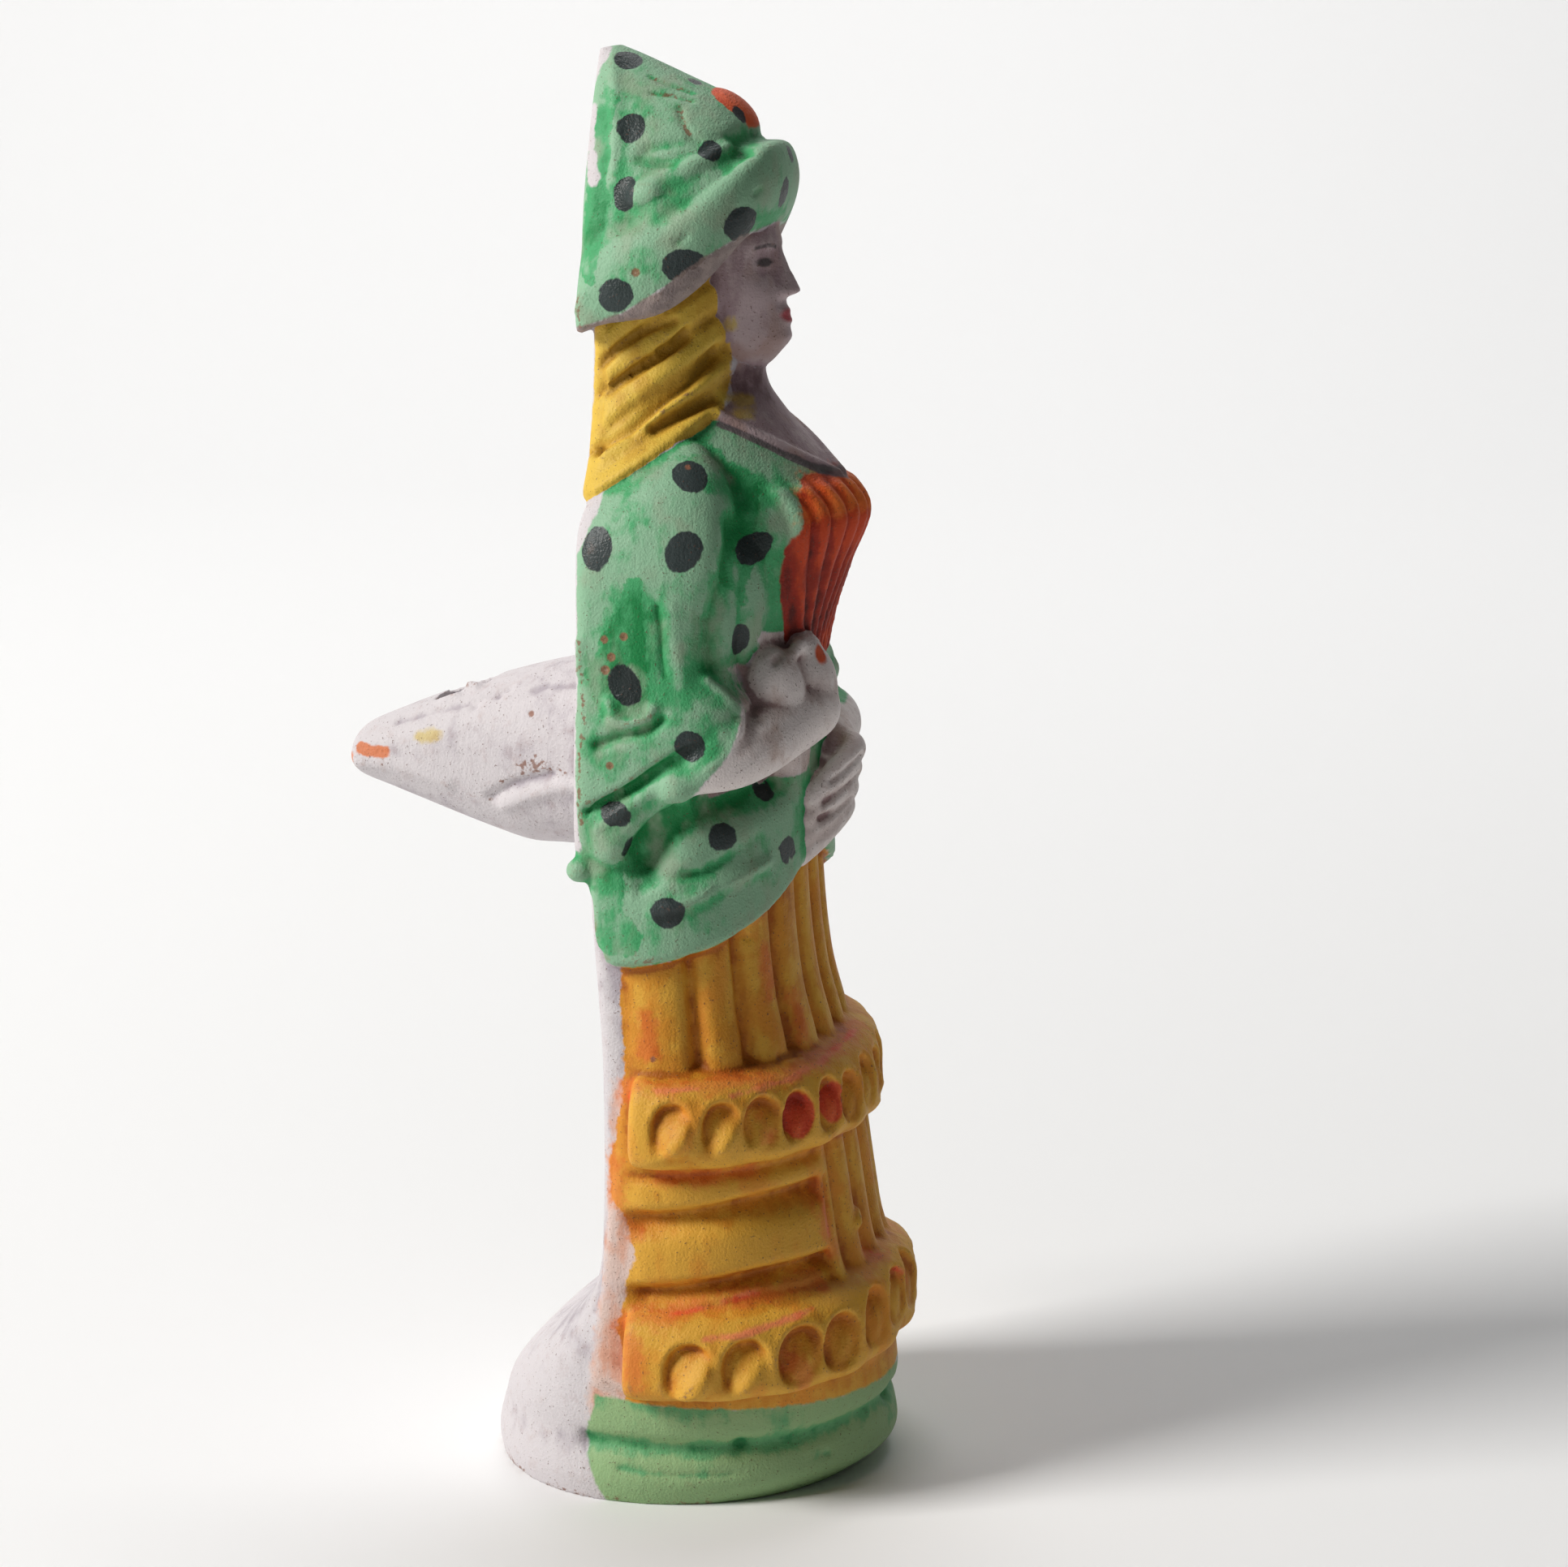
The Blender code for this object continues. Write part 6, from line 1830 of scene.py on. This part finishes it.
        roughness = self.math("MULTIPLY_ADD", shine, -0.16, self.math("MULTIPLY_ADD", mottle, 0.16, 0.5))
        brushed = self.math("MULTIPLY_ADD", mottle, 0.6, self.math("MULTIPLY", streaks, 0.6))
        relief = self.math("MULTIPLY_ADD", grit, 0.5, brushed)
        bump = self.node("ShaderNodeBump", {"Strength": 0.5, "Distance": 0.0004, "Height": relief})
        wires = {"Base Color": colour, "Roughness": roughness, "Normal": bump}
        shader = self.node("ShaderNodeBsdfPrincipled", {**wires, "IOR": 1.45, "Specular IOR Level": 0.35})
        self.node("ShaderNodeOutputMaterial", {"Surface": shader})
        return self.material


# Studio


@dataclass(frozen=True)
class Studio:
    """A pale floor, soft lights, and the camera at the photograph's angle. Places are in metres.

    Attributes:
        eye, target, lens: The camera.
        sweep_starts, sweep_radius, paper_half: The paper's bend behind the figure, and half its width.
    """

    eye: Point = (-0.54700632, -0.16723662, 0.22)
    target: Point = (0.0, -0.0121, 0.098)
    lens: float = 95.5
    sweep_starts: float = 1.0
    sweep_radius: float = 0.7
    paper_half: float = 2.5

    def build(self) -> None:
        """Sets up floor, world, lights and camera."""
        self._floor()
        self._world()
        self._light("key", (-0.85, 1.2, 1.1), 0.6, 34.0, "#fffdfa", (0.0, 0.0, 0.09))
        self._light("paper_light", (0.75, 0.1, 1.5), 0.9, 13.0, "#ffffff", (1.5, 0.45, 0.3))
        self._camera()

    def _floor(self) -> None:
        """A sheet of pale paper, flat and then curving up far behind the figure: a line, an arc, a line."""
        away = Vector(self.target) - Vector(self.eye)
        ahead = np.array(away.xy.normalized())
        turn = np.linspace(0.0, math.pi / 2, 24)
        run = np.concatenate([[-1.4], self.sweep_starts + self.sweep_radius * np.sin(turn)])
        rise = np.concatenate([[0.0], self.sweep_radius * (1.0 - np.cos(turn))])
        run, rise = np.append(run, run[-1]), np.append(rise, 2.5)
        across = np.array([-ahead[1], ahead[0]])
        edges = (-self.paper_half, self.paper_half)
        rows = [np.column_stack([run[:, None] * ahead + edge * across, rise]) for edge in edges]
        count = len(run)
        faces = [(at, at + 1, count + at + 1, count + at) for at in range(count - 1)]
        mesh = bpy.data.meshes.new("paper_sweep")
        mesh.from_pydata(np.vstack(rows).tolist(), [], faces)
        mesh.polygons.foreach_set("use_smooth", np.ones(len(faces), bool))
        paper = bpy.data.materials.new("floor_paper")
        paper.use_nodes = True
        shader = paper.node_tree.nodes["Principled BSDF"]
        shader.inputs["Base Color"].default_value = linear("#f2f2f2")
        shader.inputs["Roughness"].default_value = 0.9
        mesh.materials.append(paper)
        placed("paper_sweep", mesh)

    def _world(self) -> None:
        """An even, nearly white surround."""
        world = bpy.data.worlds.new("surround")
        world.use_nodes = True
        background = world.node_tree.nodes["Background"]
        background.inputs["Color"].default_value = linear("#f4f5f7")
        background.inputs["Strength"].default_value = 0.06
        bpy.context.scene.world = world
        bpy.context.scene.view_settings.view_transform = "Standard"

    def _light(self, name: str, place: Point, size: float, power: float, colour: str, aim: Point) -> None:
        """A square soft light that faces a point."""
        light = bpy.data.lights.new(name, "AREA")
        light.size = size
        light.energy = power
        light.color = linear(colour)[:3]
        lamp = placed(name, light)
        lamp.location = place
        lamp.rotation_euler = (Vector(aim) - Vector(place)).to_track_quat("-Z", "Y").to_euler()

    def _camera(self) -> None:
        """The photograph's camera."""
        lens = bpy.data.cameras.new("camera")
        lens.lens = self.lens
        lens.sensor_width = 36.0
        camera = placed("camera", lens)
        camera.location = self.eye
        camera.rotation_euler = (Vector(self.target) - Vector(self.eye)).to_track_quat("-Z", "Y").to_euler()
        bpy.context.scene.camera = camera


def main() -> None:
    """Builds the figure, presses and paints it, and puts it in the studio."""
    logging.basicConfig(level=logging.INFO, format="%(message)s")
    gown, head = Gown(), Head()
    parts = (gown, LOWER_FRILL, UPPER_FRILL, Jacket(), Arms(), head, Hair(), Hat(), Whistle())
    lumps = []
    for part in parts:
        made = part.lumps()
        lumps += made
        LOG.info("%s: %d lumps", type(part).__name__, len(made))
    hollows = [Stroke(-1.3 * radius, radius, (place,)) for place, radius in PITS]
    rims = [Stroke(0.3, 1.7 * radius, (place,)) for place, radius in PITS]
    marks = (*HAT_MARKS, *HAIR_MARKS, *JACKET_MARKS, *SKIRT_MARKS, *WHISTLE_MARKS, *hollows, *rims)
    skin = Press().press(lumps, marks)
    Painter(gown, head).paint(skin)
    skin.piece.data.materials.append(ClayPaint("hand_painted_clay").build())
    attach(skin.piece, "root")
    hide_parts("figurine")
    LOG.info("%s: %d vertices", skin.piece.name, len(skin.points))
    Studio().build()


if __name__ == "__main__":
    main()
